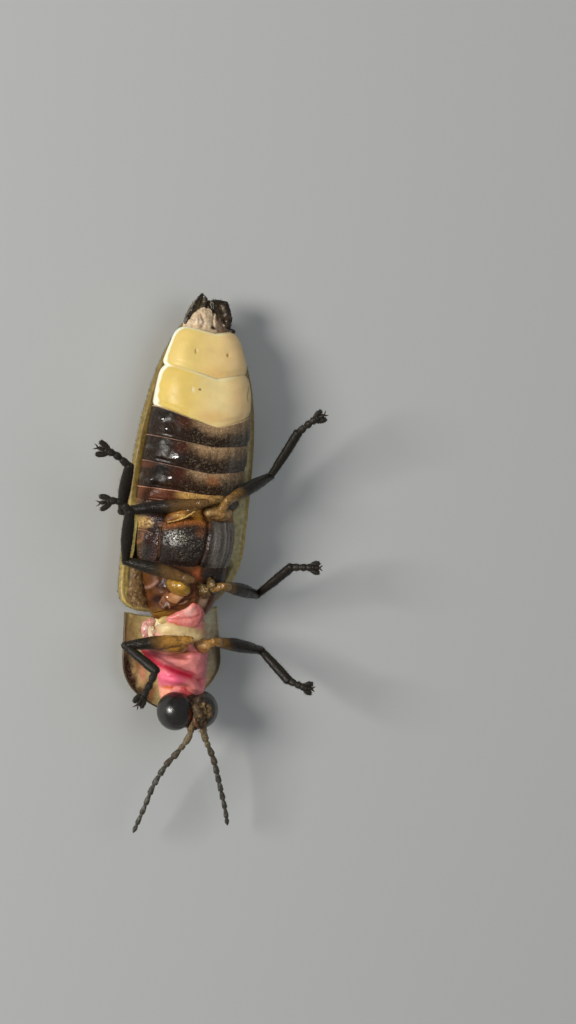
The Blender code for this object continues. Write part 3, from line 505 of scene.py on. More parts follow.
def cuticle(name, rough_range, mottle, mottle_size, grain, grain_depth, pits=0.0, pit_size=0.06,
            coat=0.0, scatter=0.0, scatter_reach=0.1, specular=0.5, smooth=0.96):
    """Insect skin that takes its colour and gloss from the shells and adds its own mottling,
    grain and pits, which fade where the gloss is over smooth. Sizes are in millimetres."""
    made = bpy.data.materials.new(name)
    made.use_nodes = True
    nodes, links = made.node_tree.nodes, made.node_tree.links
    shader = nodes["Principled BSDF"]
    place = nodes.new("ShaderNodeTexCoord")

    def lumps(size, detail=3.0):
        """Noise of a size in mm."""
        node = nodes.new("ShaderNodeTexNoise")
        node.inputs["Scale"].default_value = 1 / (size * MM)
        node.inputs["Detail"].default_value = detail
        node.inputs["Roughness"].default_value = 0.55
        links.new(place.outputs["Object"], node.inputs["Vector"])
        return node.outputs["Fac"]

    def ramp(source, low, high, dark, light):
        """A grey ramp between two values."""
        node = nodes.new("ShaderNodeMapRange")
        for key, value in (("From Min", low), ("From Max", high), ("To Min", dark),
                           ("To Max", light)):
            node.inputs[key].default_value = value
        links.new(source, node.inputs["Value"])
        return node.outputs["Result"]

    paint = nodes.new("ShaderNodeAttribute")
    paint.attribute_name = "paint"
    gloss = nodes.new("ShaderNodeAttribute")
    gloss.attribute_name = "gloss"
    tone = nodes.new("ShaderNodeMix")
    tone.data_type = "RGBA"
    tone.blend_type = "MULTIPLY"
    tone.inputs["Factor"].default_value = 1
    links.new(paint.outputs["Color"], tone.inputs["A"])
    links.new(ramp(lumps(mottle_size), 0.3, 0.7, 1 - mottle, 1 + mottle), tone.inputs["B"])
    links.new(tone.outputs["Result"], shader.inputs["Base Color"])

    sheen = nodes.new("ShaderNodeMath")
    sheen.operation = "ADD"
    links.new(ramp(gloss.outputs["Fac"], 0, 1, *rough_range), sheen.inputs[0])
    links.new(ramp(lumps(grain * 1.7), 0.3, 0.7, -0.07, 0.07), sheen.inputs[1])
    links.new(sheen.outputs[0], shader.inputs["Roughness"])

    relief = nodes.new("ShaderNodeBump")
    relief.inputs["Distance"].default_value = grain_depth * MM
    links.new(lumps(grain, 4), relief.inputs["Height"])
    last = relief
    if pits:
        cells = nodes.new("ShaderNodeTexVoronoi")
        cells.inputs["Scale"].default_value = 1 / (pit_size * MM)
        links.new(place.outputs["Object"], cells.inputs["Vector"])
        last = nodes.new("ShaderNodeBump")
        last.inputs["Distance"].default_value = pits * MM
        links.new(ramp(cells.outputs["Distance"], 0.0, 0.45, 0, 1), last.inputs["Height"])
        links.new(relief.outputs["Normal"], last.inputs["Normal"])
    links.new(last.outputs["Normal"], shader.inputs["Normal"])
    if coat:
        links.new(last.outputs["Normal"], shader.inputs["Coat Normal"])
    for bumps in {relief, last}:
        links.new(ramp(gloss.outputs["Fac"], smooth, smooth + 0.04, 1.0, 0.15), bumps.inputs["Strength"])
    links.new(ramp(gloss.outputs["Fac"], 0.0, 1.0, 0.1, specular), shader.inputs["Specular IOR Level"])
    if coat:
        links.new(ramp(gloss.outputs["Fac"], 0.6, 1.0, 0, coat), shader.inputs["Coat Weight"])
        shader.inputs["Coat Roughness"].default_value = 0.12
    if scatter:
        shader.inputs["Subsurface Weight"].default_value = scatter
        shader.inputs["Subsurface Radius"].default_value = (1.0, 0.55, 0.3)
        shader.inputs["Subsurface Scale"].default_value = scatter_reach * MM
    return made


WING = cuticle("wing_case", (0.72, 0.3), 0.3, 0.12, 0.035, 0.006, scatter=0.15, scatter_reach=0.1)
SHIELD = cuticle("shield", (0.6, 0.25), 0.2, 0.14, 0.04, 0.006, scatter=0.25, scatter_reach=0.2)
SOFT = cuticle("soft_skin", (0.6, 0.22), 0.1, 0.2, 0.05, 0.006, scatter=0.35, scatter_reach=0.2)
AMBER = cuticle("amber_skin", (0.55, 0.14), 0.18, 0.12, 0.05, 0.006, coat=0.5, scatter=0.2)
DARK = cuticle("dark_skin", (0.62, 0.16), 0.35, 0.06, 0.03, 0.01, pits=0.03, pit_size=0.06,
               coat=0.6, specular=1.0)
BELLY = cuticle("belly_skin", (0.62, 0.16), 0.35, 0.06, 0.03, 0.008, pits=0.014, pit_size=0.058,
                coat=1.0, specular=0.35, smooth=0.56)
WAX = cuticle("lantern_skin", (0.55, 0.2), 0.06, 0.5, 0.09, 0.004, coat=0.2, scatter=0.4,
              scatter_reach=0.35)
TAIL = cuticle("tail_skin", (0.6, 0.2), 0.25, 0.1, 0.04, 0.01, scatter=0.1)
HEAD = cuticle("head_skin", (0.6, 0.22), 0.35, 0.07, 0.03, 0.01)
LIMB = cuticle("limb_skin", (0.62, 0.16), 0.3, 0.06, 0.025, 0.008, pits=0.006, pit_size=0.045,
               coat=0.8, specular=0.4)
EYE = cuticle("eye_skin", (0.3, 0.26), 0.3, 0.3, 0.03, 0.0006, pits=0.0008, pit_size=0.028,
              specular=1.0)
HAIR = cuticle("hair", (0.6, 0.35), 0.15, 0.05, 0.02, 0.0)


# ---------------------------------------------------------------- wing cases

# Shoulder of the left and right wing case: where the outline starts to turn in, over what length,
# its two powers, and by what share the edge is lower at the base
SHOULDERS = {-1: (0.7, 0.82, 3, 0.2, 0.0), 1: (2.0, 2.35, 2, 0.5, 0.55)}


def elytron_outline(y, side):
    """Half width of one wing case from the middle at places along it."""
    start, length, power, bluntness, _ = SHOULDERS[side]
    tail = np.clip((y - 3.0) / (ELYTRON_LENGTH + 0.1 - 3.0), 0, 1)
    front = np.clip((start - y) / length, 0, 0.97)
    return ELYTRON_HALF_WIDTH * (1 - tail ** 2.6) ** 0.5 * (1 - front ** power) ** bluntness


def elytron_inner_edge(y):
    """The edge at the seam, which gives way to the scutellum and rounds the tip."""
    scutellum = np.clip(1 - y / SCUTELLUM_LENGTH, 0, 1)
    tip = np.clip((y - 8.9) / 0.6, 0, None)
    return 0.03 + (SCUTELLUM_HALF_WIDTH + 0.05) * scutellum + 0.3 * tip ** 2


def elytron_back(x, y, side):
    """Height of the back: flat in the middle, and rounded up to the side and ends."""
    share = np.abs(x) / np.maximum(elytron_outline(y, side), 0.5 * ELYTRON_HALF_WIDTH)
    tip = np.clip((y - 7.2) / (ELYTRON_LENGTH - 7.2), 0, None)
    rise = 0.62 * (1 - 0.75 * tip ** 2) * np.clip((share - 0.5) / 0.5, 0, None) ** 2.2
    front = np.clip((1.6 - y) / 1.6, 0, 1.1)
    rear = np.clip((y - 7.6) / 1.9, 0, None)
    lower = SHOULDERS[side][4] * np.clip(1 - y / 2.2, 0, 1)
    return (rise + 0.22 * front ** 2) * (1 - lower) + 0.22 * rear ** 2


def elytron(side, setback):
    """A thin horny sheet with a flat folded rim along its outer edge, wider beside the thorax,
    and a raised mottled shoulder."""
    rows = 230
    y = -ELYTRON_FRONT + (ELYTRON_LENGTH + ELYTRON_FRONT) * eased(rows)
    inner = elytron_inner_edge(y)
    outer = np.maximum(inner + 0.1, elytron_outline(y, side))
    across = np.concatenate((np.linspace(0, 0.6, 36), 0.6 + 0.4 * np.sin(
        np.linspace(0, np.pi / 2, 42)[1:])))
    x = inner[:, None] + (outer - inner)[:, None] * across
    depth = outer[:, None] - x                      # distance from the outer edge
    seam = x - inner[:, None]
    y_all = np.repeat(y[:, None], len(across), 1)
    rim = (0.33, 0.42, 0.42, 0.3, 0.28, 0.18) if side < 0 else (0.5, 0.58, 0.62, 0.4, 0.32, 0.18)
    wide = np.interp(y, (1.3, 1.8, 3.2, 3.7, 8.0, 9.5), rim)[:, None]
    back = elytron_back(x, y_all, side)
    level = elytron_back(outer[:, None], y[:, None], side) + 0.25     # of the rim's flat top
    folded = level - back
    folded = folded + 0.03 * (1 - (2 * np.clip(depth / wide, 0, 1) - 1) ** 2)
    thick = SHEET + 0.07 * step(-seam, -0.14, -0.05)
    thick = thick + (folded - thick) * step(-depth, -wide - 0.05, -wide + 0.02)
    shoulder = step(-depth, -1.25, -1.0) * step(depth, 0.1, 0.2) * step(-y_all, -1.8, -1.2)
    dome = level + 0.06 * bump(depth, 0.6, 0.25)
    dome = dome - 0.03 * bump(depth, 0.3, 0.06) * step(y_all, 0.3, 0.8)
    dome = dome - 0.3 * np.clip(depth - 0.5, 0, None) ** 1.5
    thick = thick + (dome - back - thick) * shoulder
    thick *= 1 - 0.35 * step(y_all, 8.3, 9.5)
    ends = np.minimum(y_all - y[0], y[-1] - y_all)
    rounding = np.maximum(edge_rounding(np.minimum(depth, seam), ELYTRON_EDGE),
                          edge_rounding(ends, ELYTRON_EDGE))
    shell, face = sheet(x, y_all, back, thick, rounding)
    points = shell.points
    depth = np.interp(points[:, 1], y, outer) - points[:, 0]
    wide = np.interp(points[:, 1], y, wide[:, 0])
    seam = points[:, 0] - np.interp(points[:, 1], y, inner)
    front_reach = points[:, 1] + ELYTRON_FRONT
    # Low ribs along the back, and wrinkles and veins under it
    ribs = sum(bump(points[:, 0] - 0.04 * points[:, 1], place, 0.09) for place in (0.55, 1.1, 1.55))
    shell.push(np.where(face < 0.5, 0.008 * ribs + 0.006 * rough(points, 0.12, 3),
                        0.012 * rough(points, (0.1, 0.3, 0.2), 5)) * step(depth, 0.0, 0.2)
               * (points[:, 2] > 0.03))
    shell.paint((52, 42, 33))
    shell.paint((150, 134, 78), face * (0.7 + 0.3 * rough(points, (0.16, 0.3, 0.3), 8)))
    margin = step(-depth + 0.05 * rough(points, 0.3, 11), -0.46, -0.36)
    under = step(-depth + 0.01 * rough(points, 0.2, 12), -wide - 0.02, -wide + 0.03)
    shell.paint((172, 148, 84), np.where(face > 0.5, under, margin))
    shell.paint((126, 104, 52), face * under * step(points[:, 1], 2.9, 4.0))
    # On the right the rim's top is painted paler: painted light that offsets the shadow the body casts on
    # it.
    if side > 0:
        shell.paint((176, 166, 124), face * under * step(depth, 0.05, 0.2))
    else:
        shell.paint((196, 184, 118), face * under * bump(points[:, 1], 2.5, 0.75)
                    * step(depth, 0.16, 0.25))
    shell.paint((140, 124, 62), step(-seam, -0.16, -0.1) * (points[:, 1] > 0.7))
    edge = 0.28 - 0.16 * step(-points[:, 1], -0.8, -0.1)
    brown = face * step(depth, edge, edge + 0.1) * step(-points[:, 1], -1.75, -1.3)
    shell.paint((120, 92, 56) if side < 0 else (84, 72, 56), brown)
    shell.paint((66, 44, 28), brown * step(noise(points, 0.07, 14), -0.1, 0.5) * 0.7)
    shell.paint((196, 166, 122), brown * step(noise(points, 0.05, 15), 0.3, 0.55) * 0.6)
    shell.paint((84, 58, 38), brown * step(depth, 0.6, 0.9) * 0.6)
    shell.paint((156, 136, 78), step(-front_reach, -0.16, -0.06) * face)
    shell.paint((132, 116, 66), step(-depth, -0.07, -0.02) * 0.6)
    # Painted shade: a darker line along the rim's top where a groove lies, a dark line where the rim steps
    # down to the sheet, and one in the groove between rim and shoulder.
    shell.paint((120, 100, 50), face * bump(depth, 0.14, 0.03) * 0.4 * step(points[:, 1], 1.5, 2.0))
    shell.paint((60, 44, 24), face * bump(depth, wide + 0.03, 0.03) * 0.8 * (brown < 0.3))
    shell.paint((72, 54, 26), face * bump(depth, 0.3, 0.05) * 0.8 * step(points[:, 1], 0.35, 0.8)
                * step(-points[:, 1], -1.75, -1.3))
    shell.polish(0.6 + 0.25 * noise(points, 0.2, 4))
    points = shell.points
    points[:, 0] = points[:, 0] * side + 0.045 * step(points[:, 1], 3.5, 7.0)
    points[:, 1] += setback * (1 - points[:, 1] / ELYTRON_LENGTH)
    if side < 0:
        shell.flip()
    shell.back = face < 0.5
    shell.front = np.clip(front_reach, 0, None)
    return shell


# ---------------------------------------------------------------- prothorax

def pronotum():
    """The shield: a thin translucent flange round a thicker middle."""
    rows = 130
    share = eased(rows)
    y = -PRONOTUM_LENGTH * share
    front = np.clip((share - 0.45) / 0.55, 0, 1)
    half = np.maximum(0.06, PRONOTUM_HALF_WIDTH * (0.97 + 0.03 * np.sin(np.pi * share))
                      * (1 - front ** 2) ** 0.75)
    across = np.sin(np.linspace(-np.pi / 2, np.pi / 2, 110))
    left_half = half * (1 - PRONOTUM_TAPER * (1 - step(share, 0, 0.4)))
    x = np.where(across < 0, left_half[:, None], half[:, None]) * across
    y_all = np.repeat(y[:, None], len(across), 1)
    depth = half[:, None] * (1 - np.abs(across))
    thick = SHEET + 0.2 * step(depth, 0.3, 1.3) + 0.02 * step(-depth, -0.1, -0.03)
    ends = np.minimum(-y_all, PRONOTUM_LENGTH + y_all)
    rounding = np.maximum(edge_rounding(depth, 0.06), edge_rounding(ends + 0.003, 0.07))
    wide = np.abs(x) / PRONOTUM_HALF_WIDTH
    back = 0.1 + 0.36 * wide ** 2.2 + 0.12 * np.clip((-y_all - 1.6) / 1.5, 0, None) ** 2
    behind = PRONOTUM_SWEEP * step(wide, 0.1, 0.5) + PRONOTUM_CORNER * step(wide, 0.45, 0.95)
    y_all = y_all + behind * step(1 - share[:, None] * 3, 0, 1)
    shell, face = sheet(x, y_all, back, thick, rounding, slot=True)
    points = shell.points
    width = np.where(points[:, 0] < 0, np.interp(-points[:, 1], -y, left_half),
                     np.interp(-points[:, 1], -y, half))
    rim = np.maximum(width - np.abs(points[:, 0]), 0)  # distance from the side edge
    rim = np.minimum(rim, PRONOTUM_LENGTH + points[:, 1] + 0.02)
    along = -points[:, 1] / PRONOTUM_LENGTH
    left = points[:, 0] < 0
    shell.push(0.012 * rough(points, 0.18, 2) * step(rim, 0, 0.15))
    # Back: rosy with a dark middle. Underside: cream olive, smoky along the front sides
    shell.paint((196, 178, 124))
    shell.paint((196, 90, 84), (1 - face) * step(rim, 0.45, 0.75))
    shell.paint((30, 22, 20), (1 - face) * spot(points, 0, -1.35, 0.62, 1.1, 0.3))
    shell.dab(((176, 156, 104), -1.2, -0.2, 0.8, 0.6, 0.6, 1),
              ((150, 104, 66), -1.1, -1.4, 0.3, 0.5, 0.9, 0.9),
              ((140, 100, 66), -0.75, -2.35, 0.4, 0.6, 0.7, 1),
              ((206, 140, 112), -0.95, -1.75, 0.2, 0.4, 0.9, 0.9), over=face * left)
    smoke = bump(along, 0.56, 0.26) * step(-rim + 0.1 * rough(points, 0.12, 21), -0.5, -0.08)
    smoke = np.maximum(smoke, step(-rim, -0.16, -0.05) * step(along, 0.12, 0.5) * 0.8)
    shell.paint((34, 27, 19), face * left * np.minimum(smoke * 1.5, 1))
    shell.paint((200, 190, 156), face * ~left)
    shell.dab(((120, 116, 90), 1.68, -1.2, 0.34, 0.9, 0.7, 1),
              ((150, 116, 88), 1.1, -1.2, 0.3, 0.9, 0.9, 0.8),
              ((206, 186, 140), 1.3, -2.1, 0.3, 0.5, 0.8, 1),
              ((206, 204, 176), 1.35, -0.1, 0.35, 0.4, 0.8, 1),
              over=face * ~left)
    shell.paint((88, 84, 66), face * ~left * step(-rim, -0.2, -0.06) * bump(along, 0.5, 0.3) * 0.9)
    speck = step(noise(points, 0.035, 31), 0.45, 0.7) * smoke * face
    shell.paint((160, 146, 112), speck * 0.5)
    shell.paint((110, 98, 68), step(-rim, -0.03, -0.005) * 0.7)
    shell.paint((72, 64, 48), left * step(-rim, -0.075, -0.03) * (0.8 + 0.2 * noise(points, 0.05, 9)))
    shell.polish(0.6)
    shell.points = turned(shell.points, PROTHORAX_TURN, PROTHORAX_PLACE)
    shell.rim = rim
    return shell


def prosternum():
    """The soft pink underside of the prothorax: its folds, a cream plate and glassy lumps."""
    rows = 170
    y = np.linspace(0.02, -2.64, rows)
    share = np.linspace(0, 1, rows)
    places = (-2.64, -2.5, -2.2, -1.7, -1.35, -0.95, -0.5, -0.1, 0.02)
    half = np.interp(y, places, (0.5, 0.66, 0.74, 0.78, 0.92, 1.08, 1.04, 0.96, 0.84))
    middle = np.interp(y, places, (0.1, 0.12, 0.15, 0.17, 0.05, -0.07, 0.0, 0.03, 0.03))
    top = 1.72 + 0.24 * np.sin(np.pi * share) - 0.25 * step(share, 0.6, 1)
    shell = sweep(body_rings(y, half, 0.4, 0.95, top, middle, 0, 2.3, 240))
    shell.points = turned(shell.points, PROTHORAX_TURN, PROTHORAX_PLACE)
    points = shell.points
    top_side = step(points[:, 2], 0.9, 1.3)
    fold = ((-1.15, -1.5), (-0.75, -1.66), (-0.2, -1.86), (0.36, -1.98), (0.8, -2.2))
    push = -0.2 * line(points, fold, 0.1) + 0.1 * line(points + (0, 0.2, 0), fold, 0.16)
    for route, width, deep in (
            (((-1.25, -1.25), (-0.7, -1.45), (0.1, -1.38)), 0.07, -0.1),
            (((0.72, -1.0), (0.9, -1.6), (0.82, -2.2)), 0.08, -0.05),
            (((-0.1, -2.4), (0.3, -2.36)), 0.07, -0.06),
            (((0.1, -1.24), (0.55, -1.22)), 0.04, 0.07)):
        push += deep * line(points, route, width)
    for x, along, reach_x, reach_y, high in (
            (-0.25, -2.12, 0.6, 0.28, 0.1), (0.1, -1.6, 0.65, 0.3, 0.08), (0.5, -2.3, 0.3, 0.25, 0.06),
            (-0.35, -2.45, 0.2, 0.12, -0.05), (-0.35, -0.5, 0.85, 0.3, 0.1)):
        push += high * spot(points, x, along, reach_x, reach_y, 1)
    push += 0.025 * rough(points, (0.35, 0.2, 0.3), 7) * top_side
    shell.push(push * top_side)
    shell.paint((232, 138, 138))
    cream = ((-1.0, -0.3), (-0.55, -0.5), (-0.2, -0.62), (0.3, -0.72), (0.62, -0.76))
    shell.dab(((236, 146, 138), 0.1, -1.6, 0.8, 0.4, 0.8, 1),
              ((186, 104, 110), 0.9, -1.7, 0.35, 0.9, 0.8, 0.9),
              ((206, 116, 120), 0.62, -1.75, 0.25, 0.6, 0.9, 0.7),
              ((150, 40, 56), -1.05, -1.5, 0.55, 0.34, 0.7, 1),
              ((255, 112, 142), -0.25, -2.12, 0.62, 0.36, 0.7, 1),
              ((244, 140, 126), 0.25, -2.4, 0.45, 0.3, 0.9, 0.9),
              ((246, 170, 138), -0.35, -2.62, 0.4, 0.24, 0.8, 1),
              ((206, 100, 52), -0.2, -2.42, 0.22, 0.1, 0.9, 1),
              ((166, 108, 54), -0.35, -1.2, 0.8, 0.2, 0.6, 1),
              ((130, 60, 42), -0.2, -1.4, 0.6, 0.12, 0.8, 0.8),
              ((200, 160, 118), 0.62, -0.8, 0.55, 0.42, 0.5, 1),
              ((206, 178, 126), -0.2, -0.6, 1.0, 0.34, 0.5, 1),
              ((206, 140, 116), -1.1, -0.55, 0.3, 0.4, 0.7, 1),
              ((176, 134, 100), 0.85, -0.45, 0.36, 0.62, 0.7, 1))
    # Deep crimson along the fold: partly the membrane's own deep pink, partly painted shade in the crease.
    shell.draw(((206, 34, 70), fold[1:4], 0.11, 1), ((160, 28, 48), fold[:2], 0.14, 0.9),
               ((222, 196, 144), cream, 0.14, 0.9),
               ((170, 76, 66), ((0.1, -1.22), (0.55, -1.2)), 0.03, 0.7))
    shell.paint((170, 116, 86), step(-points[:, 2], -0.95, -0.6))
    shell.paint((240, 180, 170), 0.3 * step(noise(points, 0.05, 41), 0.4, 0.7)
                * spot(points, 0.2, -1.65, 0.7, 0.4, 0.8))
    shell.polish(0.55 + 0.2 * noise(points, 0.25, 3))
    plate = pad(((-0.98, -0.3), (-0.6, -0.34), (-0.3, -0.52), (0.1, -0.5), (0.62, -0.62), (0.5, -0.86),
                 (0.0, -0.8), (-0.6, -0.82), (-0.96, -0.86)),
                lambda x, y: 1.66 - 0.3 * (x + 0.05) ** 2 - 0.12 * x ** 4 + 0.1 * (y + 0.6), 0.12, 110, 50)
    plate.push(0.02 * rough(plate.points, 0.3, 3)).paint((224, 200, 142))
    plate.dab(((206, 116, 62), -0.34, -0.48, 0.2, 0.12, 0.8, 0.9),
              ((206, 158, 124), 0.5, -0.7, 0.4, 0.3, 0.8, 0.9),
              ((236, 218, 170), -0.5, -0.66, 0.4, 0.1, 0.9, 0.7)).polish(0.8)
    shells = [shell, plate]
    for place, radii, turn, colour in (
            ((-0.66, -0.28, 1.6), (0.22, 0.12, 0.1), 0.35, (206, 176, 112)),
            ((-1.14, -0.62, 1.27), (0.16, 0.28, 0.13), 0.1, (206, 142, 136)),
            ((-1.02, -0.42, 1.36), (0.16, 0.14, 0.13), 0, (204, 142, 126)),
            ((-0.98, -0.72, 1.42), (0.14, 0.24, 0.12), 0.1, (216, 188, 150))):
        lump = blob(place, radii, turn, 60, 40)
        skin = 0.3 if place[0] < -0.9 else 0.04
        lump.push(skin * radii[2] * rough(lump.points, 0.1, 5)).paint(colour)
        # Whitish specks on the left lumps are painted glints on their glassy skin.
        lump.paint((236, 214, 196), step(noise(lump.points, (0.05, 0.12, 0.1), 6), 0.2, 0.6) * 2.2 * skin)
        shells.append(lump.polish(0.9))
    return shells


# ---------------------------------------------------------------- thorax

def mesothorax():
    """The middle ring: an amber plate on each side, a pink tongue of soft skin and the
    scutellum."""
    y = np.linspace(-0.34, 1.56, 150)
    places = (-0.34, -0.12, 0.08, 0.4, 0.78, 1.15, 1.36, 1.56)
    half = np.interp(y, places, (0.66, 0.84, 0.97, 1.11, 1.26, 1.35, 1.41, 1.44))
    top = np.interp(y, places, (1.5, 1.68, 1.86, 2.0, 2.05, 2.05, 2.02, 2.0))
    middle = np.interp(y, places, (-0.15, -0.13, -0.1, -0.06, -0.05, -0.05, -0.07, -0.08))
    shell = sweep(body_rings(y, half, 0.6, 1.15, top, middle, 0, 2.3, 240))
    points = shell.points
    up = step(points[:, 2], 1.0, 1.4)
    strap = ((-1.35, -0.16), (-0.92, -0.08), (-0.6, 0.08), (-0.3, 0.3), (0.05, 0.52))
    push = 0.08 * line(points - (0, 0.12, 0), strap, 0.14) - 0.04 * line(points, strap, 0.04)
    for route, width, deep in ((((-1.0, 1.4), (-0.98, 0.9), (-1.2, 0.5)), 0.12, -0.06),
                               (((-0.62, 0.62), (-0.88, 0.42), (-0.9, 0.1)), 0.1, -0.02),
                               (((0.2, 1.45), (0.02, 0.9), (0.14, 0.45)), 0.07, 0.05),
                               (((0.62, 0.0), (0.72, 0.5), (0.66, 1.2)), 0.05, -0.1)):
        push += deep * line(points, route, width)
    push += -0.06 * spot(points, -1.02, 0.3, 0.3, 0.3, 1) + 0.015 * noise(points, 0.2, 9)
    push += 0.08 * spot(points, -0.42, 0.46, 0.46, 0.26, 1)
    shell.push(push * up)
    shell.paint((94, 54, 22))
    shell.dab(((128, 90, 30), -0.85, -0.06, 0.7, 0.22, 0.7, 1),
              ((116, 82, 30), -1.3, 0.1, 0.2, 0.3, 0.9, 0.8),
              ((44, 22, 12), -1.0, 0.84, 0.18, 0.2, 0.8, 0.9),
              ((128, 68, 40), -1.22, 0.35, 0.2, 0.2, 0.8, 0.8),
              ((44, 18, 12), -0.98, 0.36, 0.22, 0.26, 0.8, 1),
              ((48, 22, 12), -0.62, 0.12, 0.34, 0.1, 0.8, 1),
              ((56, 26, 16), -0.85, 0.85, 0.34, 0.26, 0.8, 1),
              ((150, 98, 66), -0.82, 0.42, 0.08, 0.2, 0.8, 0.9),
              ((62, 32, 16), -0.4, 0.42, 0.46, 0.22, 0.7, 1),
              ((158, 80, 42), 0.1, 1.24, 0.24, 0.3, 0.8, 1),
              ((90, 44, 24), 0.02, 0.8, 0.14, 0.34, 0.8, 0.9),
              ((140, 100, 74), 0.5, 0.7, 0.4, 0.3, 0.8, 1),
              ((166, 132, 106), 0.46, 0.42, 0.26, 0.26, 0.8, 1),
              ((90, 76, 66), 1.05, 0.5, 0.3, 0.9, 0.6, 1),
              ((46, 36, 31), 0.84, 1.3, 0.68, 0.42, 0.35, 1),
              ((120, 90, 76), 0.72, 0.1, 0.16, 0.4, 0.8, 0.9),
              ((60, 36, 24), -0.75, 1.35, 0.7, 0.24, 0.8, 0.9))
    shell.paint((70, 34, 16), step(rough(points, 0.24, 15), 0.1, 0.7) * 0.6
                * step(-points[:, 0], -0.2, 0.3))
    shell.draw(((70, 40, 20), strap, 0.018, 0.6),
               # A pale pinkish streak: a painted highlight.
               ((190, 146, 128), ((-1.26, 0.68), (-1.18, 0.8), (-1.1, 0.92)), 0.05, 0.6),
               ((206, 150, 120), ((-0.72, 0.52), (-0.74, 0.34), (-0.62, 0.1)), 0.014, 0.7),
               ((196, 140, 110), ((-0.86, 0.46), (-0.9, 0.24), (-0.8, 0.1)), 0.012, 0.4))
    shell.paint((70, 44, 30), step(-points[:, 2], -1.1, -0.8))
    shell.polish(0.62 - 0.15 * noise(points, 0.2, 19)).polish(0.4, spot(points, -1.0, 0.34, 0.3, 0.3, 0.5))
    shell.polish(0.42, spot(points, -1.2, 0.95, 0.5, 0.3, 0.5))
    shell.polish(0.45, spot(points, -0.7, 0.2, 0.7, 0.24, 0.6))
    tongue = pad(((0.19, 0.46), (-0.08, 0.16), (-0.66, -0.24), (-0.2, -0.48), (0.36, -0.42), (0.62, 0.02)),
                 lambda x, y: 1.8 - 0.22 * x ** 2 + 0.2 * y, 0.19, 110, 60)
    where = tongue.points
    crease = ((-0.6, -0.24), (-0.2, -0.18), (0.2, -0.1), (0.4, -0.02))
    tongue.push(0.012 * rough(where, 0.2, 3)
                - 0.025 * line(where, crease, 0.05)
                + 0.03 * line(where, ((-0.3, 0.0), (0.1, 0.3)), 0.12)
                - 0.008 * line(where, ((0.2, 0.36), (0.38, 0.1), (0.42, -0.1)), 0.04)
                + 0.008 * noise(where, 0.07, 33) * step(where[:, 0], 0.36, 0.5))
    tongue.paint((222, 126, 118))
    tongue.dab(((240, 176, 164), 0.0, 0.08, 0.36, 0.28, 0.9, 1),
               ((238, 150, 140), -0.1, -0.24, 0.36, 0.12, 0.9, 0.8),
               ((206, 92, 70), 0.1, 0.42, 0.2, 0.14, 0.8, 0.9),
               ((214, 118, 62), -0.42, -0.4, 0.26, 0.12, 0.8, 1),
               ((160, 92, 88), 0.56, 0.0, 0.2, 0.6, 0.8, 1))
    # A darker line along the crease: painted shade.
    tongue.draw(((200, 98, 90), crease, 0.03, 0.6))
    tongue.paint((176, 132, 96), step(-where[:, 1], 0.34, 0.5) * 0.8)
    tongue.paint((236, 190, 176), 0.35 * step(noise(where, 0.05, 23), 0.3, 0.7))
    tongue.polish(0.6)
    plate = sweep(body_rings(0.04 + np.linspace(0, SCUTELLUM_LENGTH - 0.08, 30),
                             np.linspace(SCUTELLUM_HALF_WIDTH - 0.02, 0.06, 30), 0.13, 0.3, 0.7,
                             0, 0, 2.3, 60))
    plate.paint((176, 130, 90)).paint((210, 110, 96), spot(plate.points, 0, 0.1, 0.3, 0.2, 0.8))
    lobe = blob((-0.46, 0.47, 1.94), (0.42, 0.22, 0.2), -0.04, 70, 44)
    lobe.push(0.015 * noise(lobe.points, 0.16, 5)).paint((186, 130, 84))
    # Its underside is painted dark: painted shade that rims the bulb with a dark outline.
    lobe.paint((92, 48, 26), step(-lobe.unit[:, 2], -0.62, -0.42))
    lobe.dab(((206, 156, 116), -0.5, 0.5, 0.2, 0.1, 0.9, 0.8),
             ((160, 92, 62), -0.12, 0.44, 0.14, 0.16, 0.9, 0.8),
             ((150, 96, 52), -0.8, 0.5, 0.12, 0.16, 0.8, 0.8))
    lobe.polish(1.0)
    return shell, tongue, plate, lobe


